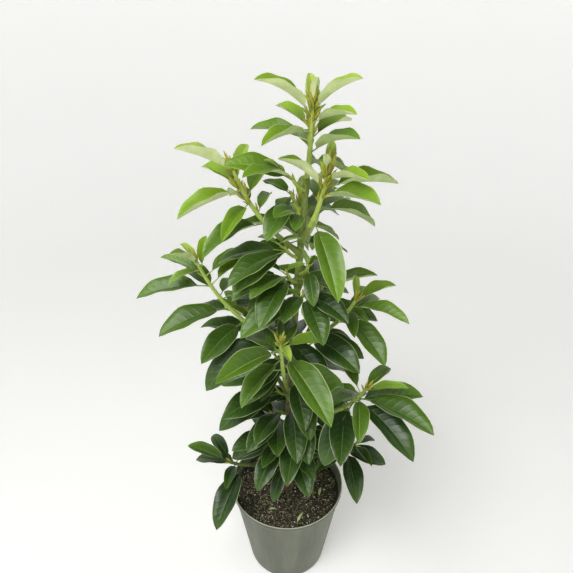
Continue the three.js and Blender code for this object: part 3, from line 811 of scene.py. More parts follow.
def place_in_scene(name, data):
    thing = bpy.data.objects.new(name, data)
    bpy.context.scene.collection.objects.link(thing)
    return thing


def finish_piece(mesh, materials, nodes):
    """Puts a finished mesh into the scene as a piece of its name that stands for its frame nodes."""
    piece = place_in_scene(mesh.name, mesh)
    for material in materials:
        mesh.materials.append(material)
    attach(piece, "root")
    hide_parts(*nodes)


def mesh_from(bm, name):
    mesh = bpy.data.meshes.new(name)
    for face in bm.faces:
        face.smooth = True
    bm.to_mesh(mesh)
    bm.free()
    return mesh


def turned(outline, steps):
    """An outline of (radius, height) pairs, turned round Z into a closed skin."""
    bm = bmesh.new()
    verts = [bm.verts.new((r, 0, z)) for r, z in outline]
    edges = [bm.edges.new(pair) for pair in zip(verts, verts[1:])]
    bmesh.ops.spin(bm, geom=verts + edges, cent=(0, 0, 0), axis=(0, 0, 1), angle=2 * math.pi, steps=steps,
                   use_merge=True)
    bmesh.ops.remove_doubles(bm, verts=bm.verts, dist=0.00001)
    bmesh.ops.recalc_face_normals(bm, faces=bm.faces)
    return bm


def ring_frame(centre, along, radius):
    """The matrix that stands a unit circle square to a limb, with the same side always up."""
    along = Vector(along).normalized()
    side = Vector((1, 0, 0)) if abs(along.z) > 0.99 else Vector((0, 0, 1)).cross(along).normalized()
    other = along.cross(side)
    turned = Matrix((side, other, along)).transposed().to_4x4()
    return Matrix.Translation(centre) @ turned @ Matrix.Diagonal((radius, radius, radius, 1))


def add_limb(bm, centres, radii, sides):
    """A round tapering limb with closed ends, drawn out ring by ring from a circle."""
    centres = [Vector(centre) for centre in centres]
    last = len(centres) - 1
    alongs = [centres[min(i + 1, last)] - centres[max(i - 1, 0)] for i in range(last + 1)]
    frames = [ring_frame(c, a, r) for c, a, r in zip(centres, alongs, radii)]
    made = bmesh.ops.create_circle(bm, segments=sides, radius=1.0, matrix=frames[0])
    edges = list({edge for vert in made["verts"] for edge in vert.link_edges})
    bmesh.ops.contextual_create(bm, geom=edges)
    for before, after in zip(frames, frames[1:]):
        grown = bmesh.ops.extrude_edge_only(bm, edges=edges)["geom"]
        verts = [item for item in grown if isinstance(item, bmesh.types.BMVert)]
        edges = [item for item in grown if isinstance(item, bmesh.types.BMEdge)]
        bmesh.ops.transform(bm, matrix=after @ before.inverted(), verts=verts)
    bmesh.ops.contextual_create(bm, geom=edges)


def rough_out(bm, depth, scale, stretch):
    """Moves a skin in and out along its normals by noise that is drawn out along Z."""
    bm.normal_update()
    moves = []
    for vert in bm.verts:
        place = Vector((vert.co.x * scale, vert.co.y * scale, vert.co.z * scale / stretch))
        ridges = 0.5 - abs(noise.noise(place)) * 2
        grain = noise.noise(place * 2.7)
        moves.append(vert.normal * depth * (ridges + grain * 0.6))
    for vert, move in zip(bm.verts, moves):
        vert.co += move


@dataclass
class Template:
    """A small unit shape that is repeated: its points, its faces, and which points lie on its sharp rim."""

    points: np.ndarray
    faces: np.ndarray
    rim: np.ndarray


@functools.lru_cache(maxsize=None)
def blade_template(strips, rows):
    """A leaf in unit form: x across from -1 to 1, y along from 0 to 1, z is 1 on the upper skin and -1 below.
    The two skins meet at the rim."""
    bm = bmesh.new()
    bmesh.ops.create_grid(bm, x_segments=strips, y_segments=rows, size=1.0)
    for vert in bm.verts:
        vert.co.y = (vert.co.y + 1) / 2
    upper = list(bm.faces)
    lower = bmesh.ops.duplicate(bm, geom=upper)["geom"]
    lower_faces = [item for item in lower if isinstance(item, bmesh.types.BMFace)]
    lower_verts = {vert for face in lower_faces for vert in face.verts}
    for vert in bm.verts:
        inside = abs(vert.co.x) < 0.999 and 0.001 < vert.co.y < 0.999
        vert.co.z = (-1 if vert in lower_verts else 1) if inside else 0
    bmesh.ops.reverse_faces(bm, faces=lower_faces)
    bmesh.ops.remove_doubles(bm, verts=bm.verts, dist=0.001)
    return template_of(bm, rim_height=0.5)


@functools.lru_cache(maxsize=None)
def tube_template(sides, rings):
    """A unit tube: a circle of radius 1 from z = 0 to 1, closed at both ends."""
    bm = bmesh.new()
    add_limb(bm, [(0, 0, i / rings) for i in range(rings + 1)], [1] * (rings + 1), sides)
    bmesh.ops.recalc_face_normals(bm, faces=bm.faces)
    for face in [face for face in bm.faces if len(face.verts) > 4]:
        bmesh.ops.poke(bm, faces=[face])
    return template_of(bm)


@functools.lru_cache(maxsize=None)
def crumb_template():
    """A small ball of radius 1."""
    bm = bmesh.new()
    bmesh.ops.create_icosphere(bm, subdivisions=1, radius=1.0)
    return template_of(bm)


def template_of(bm, rim_height=0):
    """The mesh as a template, whose rim is what lies less than this far above or below z = 0."""
    bm.verts.index_update()
    points = np.array([tuple(vert.co) for vert in bm.verts])
    faces = [[vert.index for vert in face.verts] for face in bm.faces]
    bm.free()
    return Template(points, faces, np.abs(points[:, 2]) < rim_height)


class JoinedMesh:
    """Many copies of small unit shapes, each bent to its own place, joined as one mesh."""

    def __init__(self):
        self.points = []
        self.faces = []
        self.slots = []
        self.uvs = []
        self.rims = []
        self.count = 0

    def add(self, template, points, slots):
        """One copy at its own points (mm), with one material slot or a list of one for each face."""
        self.points.append(points)
        self.faces.extend([[index + self.count for index in face] for face in template.faces])
        self.slots.extend([slots] * len(template.faces) if isinstance(slots, int) else slots)
        self.uvs.append(template.points[:, :2] * (0.5, 1) + (0.5, 0))
        self.rims.append(template.rim)
        self.count += len(points)

    def build(self, name):
        mesh = bpy.data.meshes.new(name)
        mesh.from_pydata((np.vstack(self.points) * MM).tolist(), [], self.faces)
        mesh.polygons.foreach_set("material_index", self.slots)
        mesh.polygons.foreach_set("use_smooth", [True] * len(self.faces))
        corners = np.empty(len(mesh.loops), np.int32)
        mesh.loops.foreach_get("vertex_index", corners)
        layer = mesh.uv_layers.new(name="leaf")
        layer.data.foreach_set("uv", np.vstack(self.uvs)[corners].astype(np.float32).ravel())
        ends = np.empty(len(mesh.edges) * 2, np.int32)
        mesh.edges.foreach_get("vertices", ends)
        rim = np.concatenate(self.rims)
        sharp = rim[ends.reshape(-1, 2)].all(axis=1)
        mesh.edges.foreach_set("use_edge_sharp", sharp)
        mesh.update()
        mesh.validate()
        return mesh


# ---------------------------------------------------------------- Leaves

BLADE_STRIPS = 7
BLADE_ROWS = 12
BLADE_COLUMNS = np.array([-1, -0.72, -0.38, -0.028, 0.028, 0.38, 0.72, 1])
LEAFLET_STRIPS = 4
LEAFLET_ROWS = 5
LEAFLET_COLUMNS = np.array([-1, -0.5, 0, 0.5, 1])
TIP_DRAWN = 0.22  # how much the last of the tip is narrowed
LEAST_WIDTH = 0.35
EDGE_ARCH = 0.13
EDGE_WAVES = 2.2
SIDE_SHIFT = 0.31  # of a wave, between a leaf's two edges
EDGE_THINNED = 0.6
RIB_HALF = 0.06  # the midrib's half width as a share of the blade's
RIB_SUNK = 0.45
RIB_KEEL = 0.5
UNDERSIDE = 3  # a blade's material slots: its three upper tones come first
RIB = 4


def bent_blade(leaf, template, columns, thickness, wave, phase):
    """A blade's points: folded at the midrib, each half arched, the edge waved and the tip drawn out."""
    side = np.interp(template.points[:, 0], np.linspace(-1, 1, len(columns)), columns)
    along = template.points[:, 1] ** 0.9
    skin = template.points[:, 2]
    centre, _, across, face = leaf.frame(mix(STALK, 1, along))
    width = np.maximum(leaf.half_width(along) * (1 - TIP_DRAWN * along**8), LEAST_WIDTH)
    fold = leaf.fold * RAD
    reach = np.abs(side)
    lift = reach * math.sin(fold) + EDGE_ARCH * np.sin(math.pi * reach)
    swing = 2 * math.pi * (EDGE_WAVES * along + phase + SIDE_SHIFT * (side > 0))
    ripple = wave * leaf.length * reach**2 * np.sin(swing) * np.sin(math.pi * np.clip(along, 0, 1))
    middle = reach < RIB_HALF
    depth = skin * (thickness / 2) * (1 - EDGE_THINNED * reach)
    depth -= np.where(middle, RIB_SUNK, 0.0) * (1 - along)
    depth -= np.where(middle & (skin < 0), RIB_KEEL, 0.0) * (1 - along)
    return (
        centre
        + across * (side * width * math.cos(fold))[:, None]
        + face * (lift * width + ripple + depth)[:, None]
    )


def tube_points(leaf, template, shares, width, depth):
    """The points of a tube along a leaf's midrib, at these shares of its way and with these radii."""
    centre, _, across, face = leaf.frame(shares)
    side, up = template.points[:, 0] * width, template.points[:, 1] * depth
    return centre + across * side[:, None] + face * up[:, None]


def blade_slots(template, upper):
    """The slot of each face, from where its corners lie: the rib, the given upper tone or the underside."""
    middles = [template.points[face].mean(axis=0) for face in template.faces]
    return [RIB if abs(x) < RIB_HALF else upper if z > 0 else UNDERSIDE for x, _, z in middles]


# the leaves' groups by tone, which holds their age and painted shade low in the crown
TONE_GROUPS = ("young", "grown", "old")
TONES_PER_GROUP = 3
TONES = TONES_PER_GROUP * len(TONE_GROUPS)
AGE_TONES = 5.2  # how many tones a leaf darkens by its age
PAINTED_SHADE_TONES = 9  # and by painted shade from the top of the crown to its foot
CROWN_TOP = TRUNK_TOP + SHOOTS[0].rise


def leaf_tone(leaf, draw):
    """How dark a leaf is by its age and by painted shade lower in the crown, from 0 at a fresh tip to just
    under TONES low in the crown.
    """
    height = (leaf.root[2] - SOIL_TOP) / (CROWN_TOP - SOIL_TOP)
    # the second term is painted shade, darker lower in the crown
    tone = AGE_TONES * leaf.age**0.8 + PAINTED_SHADE_TONES * (1 - height) ** 1.5 + (draw() - 0.5) * 1.6
    return min(max(tone, 0), TONES - 0.01)


# ---------------------------------------------------------------- Settings that a user would change


def colour_setting(name, description, default):
    return FloatVectorProperty(name=name, description=description, default=default, min=0, max=1, size=3,
                               subtype="COLOR")


def length_setting(name, description, default, low, high):
    return FloatProperty(name=name, description=description, default=default, min=low, max=high,
                         unit="LENGTH", precision=4)


def share_setting(name, description, default, high=1):
    return FloatProperty(name=name, description=description, default=default, min=0, max=high)


def count_setting(name, description, default, high):
    return IntProperty(name=name, description=description, default=default, min=0, max=high)


class WoodSettings(bpy.types.PropertyGroup):
    """The trunk, the boughs and the twigs."""

    relief: length_setting("Bark relief", "Depth of the ridges in the bark", 0.0007, 0, 0.003)
    bark_top: length_setting("Bark top", "Height where brown bark starts to turn green", 0.52, 0.2, 1.0)
    bark: colour_setting("Bark", "Colour of the old bark", rgb("7d6350"))
    green_wood: colour_setting("Green wood", "Colour of the young trunk", rgb("869c3e"))
    bough: colour_setting("Boughs", "Colour of the boughs", rgb("94a84c"))
    twig: colour_setting("Twigs", "Colour of the leafy shoots", rgb("b0c858"))


class LeafSettings(bpy.types.PropertyGroup):
    """The blades and their stalks."""

    thickness: length_setting("Thickness", "Thickness of a blade at its midrib", 0.0009, 0.0002, 0.003)
    wave: share_setting("Edge wave", "Height of the edge's waves, as a share of the leaf", 0.016, 0.08)
    # The colours from fresh to old lie along the leaves' tone, which also darkens them by painted shade low
    # in the crown.
    fresh: colour_setting("Fresh", "Upper side of a leaf that has just opened", rgb("bfd668"))
    young: colour_setting("Young", "Upper side of the young leaves", rgb("93b82a"))
    grown: colour_setting("Grown", "Upper side of the grown leaves", rgb("598017"))
    old: colour_setting("Old", "Upper side of the oldest leaves", rgb("1f3f0c"))
    # The young underside's pale colour is partly the leaf's own and partly painted light that stands in for
    # light shining through the leaf.
    under_young: colour_setting("Young underside", "Underside of the young leaves", rgb("e8f6b4"))
    under_old: colour_setting("Old underside", "Underside of the old leaves", rgb("90ae5a"))


class BudSettings(bpy.types.PropertyGroup):
    """The spindle-shaped buds at the shoots' tips and in the leaves' axils."""

    spindles: count_setting("Spindles", "Folded leaflets in the bud at a bough's tip", 9, 20)
    length: length_setting("Length", "Length of the longest folded leaflet", 0.030, 0.01, 0.06)
    colour: colour_setting("Bud", "Colour of the unopened leaflets", rgb("aea641"))
    axil_age: share_setting("Axil age", "Age, from 0 to 1, up to which leaves have buds in their axil", 0.62)
    axil_from: length_setting("Axil buds from", "Height above which leaves have axil buds", 0.86, 0, 2)


class PotSettings(bpy.types.PropertyGroup):
    """The nursery pot."""

    plastic: colour_setting("Plastic", "Colour of the pot", rgb("595f4b"))
    # the rim's pale top edge from this height up is a painted highlight
    rim_highlight_from: length_setting("Rim wear", "Height from which the rim is worn pale", 0.2394, 0, 0.3)
    ripple: length_setting("Wall ripple", "How uneven the thin wall is", 0.0005, 0, 0.003)


class SoilSettings(bpy.types.PropertyGroup):
    """The potting mix."""

    soil: colour_setting("Soil", "Colour of the damp mix", rgb("2a261c"))
    relief: length_setting("Relief", "Height of the clods", 0.005, 0, 0.02)
    perlite: count_setting("Perlite", "White grains on the surface", 620, 2000)
    scraps: count_setting("Leaf scraps", "Dry scraps of leaf on the surface", 5, 40)
    chips: count_setting("Bark chips", "Chips and fibres on the surface", 1700, 5000)


class StudioSettings(bpy.types.PropertyGroup):
    """The studio round the plant."""

    paper: colour_setting("Paper", "Colour of the floor and backdrop", (0.9, 0.9, 0.89))
    light: FloatProperty(name="Light", description="Power of the soft box overhead", default=62, min=0,
                         subtype="POWER", unit="POWER")
    glow: share_setting("Glow", "How brightly the paper shines by itself", 0.37, 2)


# ---------------------------------------------------------------- Pieces


class AVOCADO_OT_pot(bpy.types.Operator):
    """Make the thin-walled pot with its stepped lip"""

    bl_idname = "avocado.pot"
    bl_label = "Pot"

    sides = 144
    wall_rows = 24
    lip_rows = 7
    wall = 0.0024
    floor = 0.005
    base_radius = 0.097
    foot_chamfer = 0.004
    foot_ring = 0.012
    lip_height = 0.012
    lip_step = 0.004
    lip_roll = 0.0012
    ripple_scale = 3.2

    def profile(self, height, rim):
        """The wall's outline: from the underside's middle, up the outside, over the lip and down inside."""
        lip_foot = height - self.lip_height
        slope = (rim - self.lip_step - self.base_radius) / lip_foot
        foot = self.foot_chamfer
        edge = self.lip_roll
        heights = np.linspace(foot, lip_foot - 0.001, self.wall_rows)
        outside = [(self.base_radius + slope * z, z) for z in heights]
        inside = [(r - self.wall, z) for r, z in outside[::-1] if z > self.floor]
        roll = [(rim - edge + edge * math.sin(a), height - edge + edge * math.cos(a))
                for a in np.linspace(math.pi / 2, -math.pi / 2, self.lip_rows)]
        return [
            (0, 0), (self.base_radius - foot - self.foot_ring, 0), (self.base_radius - foot, 0),
            (self.base_radius - foot * 0.3, foot * 0.3), *outside,
            (rim - self.lip_step + 0.0005, lip_foot), (rim - edge, lip_foot + 0.0004),
            (rim - 0.0003, lip_foot + 0.0016), (rim, lip_foot + 0.004), *roll,
            (rim - 2 * edge, height - 0.004), (rim - self.wall - edge, lip_foot + 0.002), *inside,
            (0, self.floor),
        ]

    def execute(self, context):
        settings = context.scene.avocado_pot
        low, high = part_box("pot")
        bm = turned(self.profile(high.z, (high.x - low.x) / 2), self.sides)
        for vert in bm.verts:
            share = min(vert.co.z / (high.z - self.lip_height), 1)
            swing = math.atan2(vert.co.y, vert.co.x)
            x, y = math.cos(swing), math.sin(swing)
            push = noise.noise(Vector((x * self.ripple_scale, y * self.ripple_scale, vert.co.z * 3)))
            amount = settings.ripple * push * math.sin(math.pi * share)
            vert.co.x += x * amount
            vert.co.y += y * amount
        mesh = mesh_from(bm, "nursery_pot")
        finish_piece(mesh, [pot_material(settings)], ["pot"])
        return {"FINISHED"}


class AVOCADO_OT_soil(bpy.types.Operator):
    """Make the potting mix with its clods, bark chips and perlite"""

    bl_idname = "avocado.soil"
    bl_label = "Soil"

    sides = 160
    rows = 60
    foot_inset = 0.03
    edge_drop = 0.004
    clods = ((38, 1.3, 0.7), (120, 4.1, 0.4), (420, 7.7, 0.22))  # the noise's scale, layer and weight
    scrap_ring = 0.085

    def surface_height(self, x, y, settings, top, radius):
        """The clods' height at a place, falling away towards the pot's wall."""
        outer = max(0.0, (math.hypot(x, y) / radius - 0.5) / 0.5)
        heave = sum(noise.noise(Vector((x * scale, y * scale, layer))) * weight
                    for scale, layer, weight in self.clods)
        return top - self.edge_drop * outer**1.5 + settings.relief * 0.5 * heave

    def execute(self, context):
        settings = context.scene.avocado_soil
        low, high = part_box("soil")
        radius = (high.x - low.x) / 2
        top = high.z - settings.relief * 0.35
        outline = [(0, low.z), (radius - self.foot_inset, low.z), (radius, top - 0.006)]
        outline += [(radius * (1 - i / self.rows), top) for i in range(self.rows + 1)]
        bm = turned(outline, self.sides)
        for vert in bm.verts:
            if vert.co.z > top - 0.001:
                vert.co.z = self.surface_height(vert.co.x, vert.co.y, settings, top, radius)
        mesh = mesh_from(bm, "potting_mix")
        finish_piece(mesh, [soil_material(settings)], ["soil"])
        self.scatter(settings, top, radius)
        return {"FINISHED"}

    def scatter(self, settings, top, radius):
        """Loose bits half sunk in the surface: perlite, bark chips, straw-like fibres and scraps of leaf."""
        draw = seeded_random(SEED + 7)
        template = crumb_template()
        joined = JoinedMesh()

        def surface(x, y):
            return np.array([x, y, self.surface_height(x, y, settings, top, radius)]) / MM

        for i in range(settings.perlite + settings.chips):
            out = (radius - 0.006) * math.sqrt(draw())
            swing = 2 * math.pi * draw()
            if i < settings.perlite:
                slot, size = 0, (0.6 + 1.6 * draw() ** 4) * np.array([1, 0.8, 0.7])
            elif draw() < 0.6:
                slot, size = 1 + (draw() < 0.45), (0.9 + 1.5 * draw() ** 2) * np.array([1.5, 0.9, 0.45])
            else:
                slot, size = 3, np.array([1.5 + 4 * draw() ** 2, 0.5, 0.4])
            spin = Matrix.Rotation(2 * math.pi * draw(), 3, "Z")
            spin = spin @ Matrix.Rotation((draw() - 0.5) * 0.9, 3, "Y")
            centre = surface(out * math.cos(swing), out * math.sin(swing)) + (0, 0, size[2] * 0.35)
            shape = template.points * size * (1 + 0.35 * np.sin(template.points[:, ::-1] * 5 + i))
            joined.add(template, shape @ np.array(spin).T + centre, slot)
        blade = blade_template(LEAFLET_STRIPS, LEAFLET_ROWS)
        for i in range(settings.scraps):
            swing = (235 + 62 * i) * RAD
            root = surface(math.cos(swing) * self.scrap_ring, math.sin(swing) * self.scrap_ring) + (0, 0, 2.5)
            scrap = Leaf(root=root, t=1, age=0, turn=360 * draw(), rise=2, length=mix(16, 34, draw()),
                         bend=30, roll=30 * draw(), width=0.32, fold=30, tilt=0, shoot=0)
            points = bent_blade(scrap, blade, LEAFLET_COLUMNS, thickness=0.6, wave=0.05, phase=draw())
            joined.add(blade, points, 4)
        colours = {"perlite": "f0eddc", "bark_chip": "8f8462", "dark_chip": "4a3b2b", "straw": "c9bd8c",
                   "leaf_scrap": "c3cc8c"}
        materials = [crumb_material(name, rgb(code)) for name, code in colours.items()]
        finish_piece(joined.build("soil_bits"), materials, ["soil"])


class AVOCADO_OT_trunk(bpy.types.Operator):
    """Make the trunk and its boughs with the bark's relief"""

    bl_idname = "avocado.trunk"
    bl_label = "Trunk and boughs"

    trunk_sides = 30
    trunk_rings = 240
    bough_sides = 18
    bough_rings = 44
    sunk = 12  # how far the trunk's foot goes on inside the soil
    swelling = 0.1  # how much thicker the trunk is where a limb leaves it
    swelling_length = 7
    collar = 0.9  # how much thicker a bough is where it leaves the trunk
    collar_length = 9

    def swollen_radius(self, height):
        joints = [shoot.height for shoot in SHOOTS if shoot.height < TRUNK_TOP]
        near = sum(math.exp(-(((height - joint) / self.swelling_length) ** 2)) for joint in joints)
        return trunk_radius(max(height, SOIL_TOP)) * (1 + self.swelling * near)

    def execute(self, context):
        settings = context.scene.avocado_wood
        crown = grow_crown()
        bm = bmesh.new()
        heights = np.linspace(SOIL_TOP - self.sunk, TRUNK_TOP, self.trunk_rings)
        add_limb(bm, [trunk_centre(h) * MM for h in heights], [self.swollen_radius(h) * MM for h in heights],
                 self.trunk_sides)
        self.finish("bark_trunk", bm, settings.relief, trunk_material(settings), "trunk_bark", ["trunk"])
        bm = bmesh.new()
        for shoot, line in zip(BOUGH_SHOOTS, crown.lines):
            if shoot.bare == 0:
                continue
            length = line.length()
            ways = np.linspace(0, shoot.bare + 0.01, self.bough_rings)
            collars = [1 + self.collar * math.exp(-t * length / self.collar_length) for t in ways]
            radii = [limb_radius(t) * collar * MM for t, collar in zip(ways, collars)]
            add_limb(bm, [line.point(t) * MM for t in ways], radii, self.bough_sides)
        nodes = [f"{shoot.name}_bough" for shoot in BOUGH_SHOOTS if shoot.bare > 0]
        green = wood_material("bough_skin", settings.bough, scaled(settings.bough, 0.62), scale=460.0,
                              stretch=6.0, relief=0.0008, gloss=0.5)
        self.finish("boughs", bm, settings.relief * 0.5, green, "green_wood", nodes)
        return {"FINISHED"}

    def finish(self, name, bm, relief, material, slot, nodes):
        bmesh.ops.recalc_face_normals(bm, faces=bm.faces)
        rough_out(bm, relief, scale=420, stretch=6)
        finish_piece(mesh_from(bm, name), [material], nodes)


def mass_nodes(indices):
    return [f"{SHOOTS[index].name}_leaves" for index in sorted(set(indices))]


class AVOCADO_OT_twigs(bpy.types.Operator):
    """Make the leafy shoots, the leaves' stalks and the finer side twigs"""

    bl_idname = "avocado.twigs"
    bl_label = "Twigs and stalks"

    sides = 12
    rings = 26
    knot = 0.12  # how much thicker a shoot is where a leaf leaves it
    knot_length = 3.5
    # the tone from which a stalk is dark, from its leaf's age and painted shade low in the crown
    old_and_shaded_stalk_tone = 4.5

    def execute(self, context):
        settings = context.scene.avocado_wood
        crown = grow_crown()
        bm = bmesh.new()
        for index in range(len(SHOOTS)):
            self.shoot(bm, crown, index)
        for root, tip in crown.side_twigs:
            ways = [0, 0.25, 0.5, 0.75, 0.95, 1]
            radii = [mix(SIDE_TWIG_RADIUS, SIDE_TWIG_TIP, way**2) * MM for way in ways]
            add_limb(bm, [mix(root, tip, way) * MM for way in ways], radii, self.sides)
        bmesh.ops.recalc_face_normals(bm, faces=bm.faces)
        rough_out(bm, settings.relief * 0.2, scale=500, stretch=5)
        green = wood_material("shoot_skin", settings.twig, scaled(settings.twig, 0.7), scale=500.0,
                              stretch=5.0, relief=0.0004, gloss=0.42)
        finish_piece(mesh_from(bm, "leafy_shoots"), [green], mass_nodes(range(len(SHOOTS))))
        self.stalks(crown)
        return {"FINISHED"}

    def shoot(self, bm, crown, index):
        """One shoot beyond its bare limb, with a knot at each leaf and a pointed end inside the tip's bud."""
        shoot, line = SHOOTS[index], crown.lines[index]
        root = shoot.root_radius or limb_radius(shoot.bare)
        joints = [leaf.t for leaf in crown.main_leaves if leaf.shoot == index]
        length = line.length()
        centres = []
        radii = []
        for share in np.linspace(0, 1, self.rings):
            t = mix(shoot.bare, 1, share)
            knots = sum(math.exp(-(((t - joint) * length / self.knot_length) ** 2)) for joint in joints)
            centres.append(line.point(t) * MM)
            radii.append(mix(root, TWIG_TIP_RADIUS, share) * (1 + self.knot * min(knots, 2)) * MM)
        for step in (0.3, 0.6, 0.85, 1.0):
            centres.append((line.point(1) + line.tangent(1) * BUD_LENGTH * 0.55 * step) * MM)
            radii.append(mix(TWIG_TIP_RADIUS, 0.5, step**1.5) * MM)
        add_limb(bm, centres, radii, self.sides)

    def stalks(self, crown):
        """Each leaf's stalk, thicker where it clasps the stem."""
        template = tube_template(8, 6)
        share = template.points[:, 2]
        taper = STALK_RADIUS * (0.72 + 0.75 * np.exp(-share * 7))
        joined = JoinedMesh()
        for leaf in crown.leaves:
            radius = taper * min(1.15, 0.55 + leaf.length / 250)
            points = tube_points(leaf, template, share * (STALK + 0.02), radius, radius)
            # leaves whose tone, from age and painted shade low in the crown, reaches the threshold take the
            # darker stalk skin
            slot = 0 if leaf_tone(leaf, lambda: 0.5) < self.old_and_shaded_stalk_tone else 1
            joined.add(template, points, slot)
        skins = {"stalk_skin": ("b3c765", "8faa45"), "old_and_shaded_stalk_skin": ("86a04a", "5f7a35")}
        materials = [
            wood_material(name, rgb(pale), rgb(dark), scale=700.0, stretch=2.0, relief=0.0002, gloss=0.4)
            for name, (pale, dark) in skins.items()
        ]
        finish_piece(joined.build("leaf_stalks"), materials,
                     mass_nodes(leaf.shoot for leaf in crown.leaves))


class AVOCADO_OT_leaves(bpy.types.Operator):
    """Make the leaves, joined by tone into young, grown and old, where a tone holds the leaf's age and
    painted shade low in the crown
    """

    bl_idname = "avocado.leaves"
    bl_label = "Leaves"

    stops = (0, 0.2, 0.55, 1)  # the tones of the fresh, young, grown and old colours
    young_rib = rgb("b9d06a")
    old_rib = rgb("5d7d3c")

    def execute(self, context):
        settings = context.scene.avocado_leaf
        crown = grow_crown()
        draw = seeded_random(SEED + 5)
        template = blade_template(BLADE_STRIPS, BLADE_ROWS)
        joined = [JoinedMesh() for _ in TONE_GROUPS]
        owners = [[] for _ in TONE_GROUPS]
        for leaf in crown.leaves:
            # the tone, and so the group and its colours, holds painted shade low in the crown as well as age
            age, step = divmod(int(leaf_tone(leaf, draw)), TONES_PER_GROUP)
            points = bent_blade(leaf, template, BLADE_COLUMNS, settings.thickness / MM, settings.wave, draw())
            joined[age].add(template, points, blade_slots(template, step))
            owners[age].append(leaf.shoot)
        for age, name in enumerate(TONE_GROUPS):
            mesh = joined[age].build(f"{name}_leaves")
            finish_piece(mesh, self.materials(age, settings), mass_nodes(owners[age]))
        return {"FINISHED"}

    def upper(self, tone, settings):
        """The upper side's colour at a tone from 0, a fresh leaf, to 1, the darkest from age and painted
        shade low in the crown.
        """
        colours = (settings.fresh, settings.young, settings.grown, settings.old)
        return tuple(np.interp(tone, self.stops, channel) for channel in zip(*colours))

    def materials(self, age, settings):
        """The upper tones of one group, then its underside and its rib; a group's tones hold age and painted
        shade low in the crown.
        """
        name = TONE_GROUPS[age]
        made = []
        for step in range(TONES_PER_GROUP):
            tone = (age * TONES_PER_GROUP + step) / (TONES - 1)
            colour = self.upper(tone, settings)
            vein = blend(colour, settings.under_young, mix(0.4, 0.2, tone))
            margin = blend(colour, settings.under_young, mix(0.7, 0.42, tone))
            # the tip colour is paler than the upper side on the darker tones: painted light along the leaf,
            # with the painted shade at the stalk
            tip = blend(scaled(colour, mix(0.85, 1.25, tone)), settings.young, 0.15)
            gloss = mix(0.42, 0.37, tone)
            made.append(leaf_material(f"{name}_upper_{step + 1}", colour, gloss, vein, margin, tip))
        under = blend(settings.under_young, settings.under_old, age / 2)
        made.append(leaf_material(f"{name}_underside", under, 0.6, scaled(under, 1.25), under))
        made.append(leaf_material(f"{name}_rib", blend(self.young_rib, self.old_rib, age / 2), 0.5))
        return made


class AVOCADO_OT_buds(bpy.types.Operator):
    """Make the buds: upright spindles at every tip, and smaller bunches in the axils of the young leaves"""

    bl_idname = "avocado.buds"
    bl_label = "Buds"

    sides = 6
    rings = 6
    inner_count = 2
    inner_size = 0.6
    low_tip = 300  # buds are few and small on shoots that end this low, and full from full_rise higher up
    full_rise = 400

    def execute(self, context):
        settings = context.scene.avocado_bud
        crown = grow_crown()
        draw = seeded_random(SEED + 3)
        joined = JoinedMesh()
        length = settings.length / MM
        boughs = len(BOUGH_SHOOTS)
        for index, line in enumerate(crown.lines):
            vigour = min(max((line.tip[2] - self.low_tip) / self.full_rise, 0.3), 1)
            count = int(settings.spindles * vigour) if index < boughs else self.inner_count
            size = length * (mix(0.6, 1, vigour) if index < boughs else self.inner_size)
            self.bunch(joined, line.point(1) - line.tangent(1) * 3, line.tangent(1), count, size, index, draw)
        for leaf in crown.main_leaves:
            vigour = 1 - leaf.age / settings.axil_age
            if leaf.shoot >= boughs or vigour <= 0 or leaf.root[2] < settings.axil_from / MM:
                continue
            stem = crown.lines[leaf.shoot].tangent(leaf.t)
            way = stem + heading(leaf.turn) * 0.22
            axil = leaf.root + heading(leaf.turn) * 3 - stem * 4
            self.bunch(joined, axil, way / np.linalg.norm(way), 3 + int(4 * vigour),
                       length * mix(0.8, 1.15, vigour), leaf.shoot, draw)
        opening = blend(settings.colour, context.scene.avocado_leaf.young, 0.55)
        materials = [
            leaf_material("bud_skin", settings.colour, 0.6),
            leaf_material("opening_leaflet", opening, 0.5),
        ]
        finish_piece(joined.build("buds"), materials, mass_nodes(range(len(SHOOTS))))
        return {"FINISHED"}

    def bunch(self, joined, root, along, count, size, shoot, draw):
        """Spindles round a direction, from the long straight ones in the middle to those that lean out."""
        template = tube_template(self.sides, self.rings)
        shares = template.points[:, 2]
        swell = np.sin(math.pi * np.clip(shares, 0.06, 0.985) ** 0.8) ** 0.8
        side = np.cross(along, (0.3, 0.5, 0.8))
        side /= np.linalg.norm(side)
        other = np.cross(along, side)
        for i in range(count):
            share = (i + 0.5) / count
            spread = (mix(3, 36, share) + 8 * draw()) * RAD
            around = (GOLDEN_ANGLE * i + 40 * shoot) * RAD
            out = side * math.cos(around) + other * math.sin(around)
            way = along * math.cos(spread) + out * math.sin(spread)
            length = size * mix(1, 0.7, share) * mix(0.85, 1.15, draw())
            spindle = Leaf(root=root + out * 1.2 + along * length * 0.5 * draw(), t=1, age=0,
                           turn=math.atan2(way[1], way[0]) / RAD, rise=math.asin(way[2]) / RAD, length=length,
                           bend=mix(-14, 16, share), roll=0, width=1, fold=0, tilt=0, shoot=shoot)
            radius = swell * mix(2.4, 3.6, draw()) * min(1, length / 24)
            points = tube_points(spindle, template, shares, radius, radius * 0.75)
            joined.add(template, points, int(share >= 0.6))


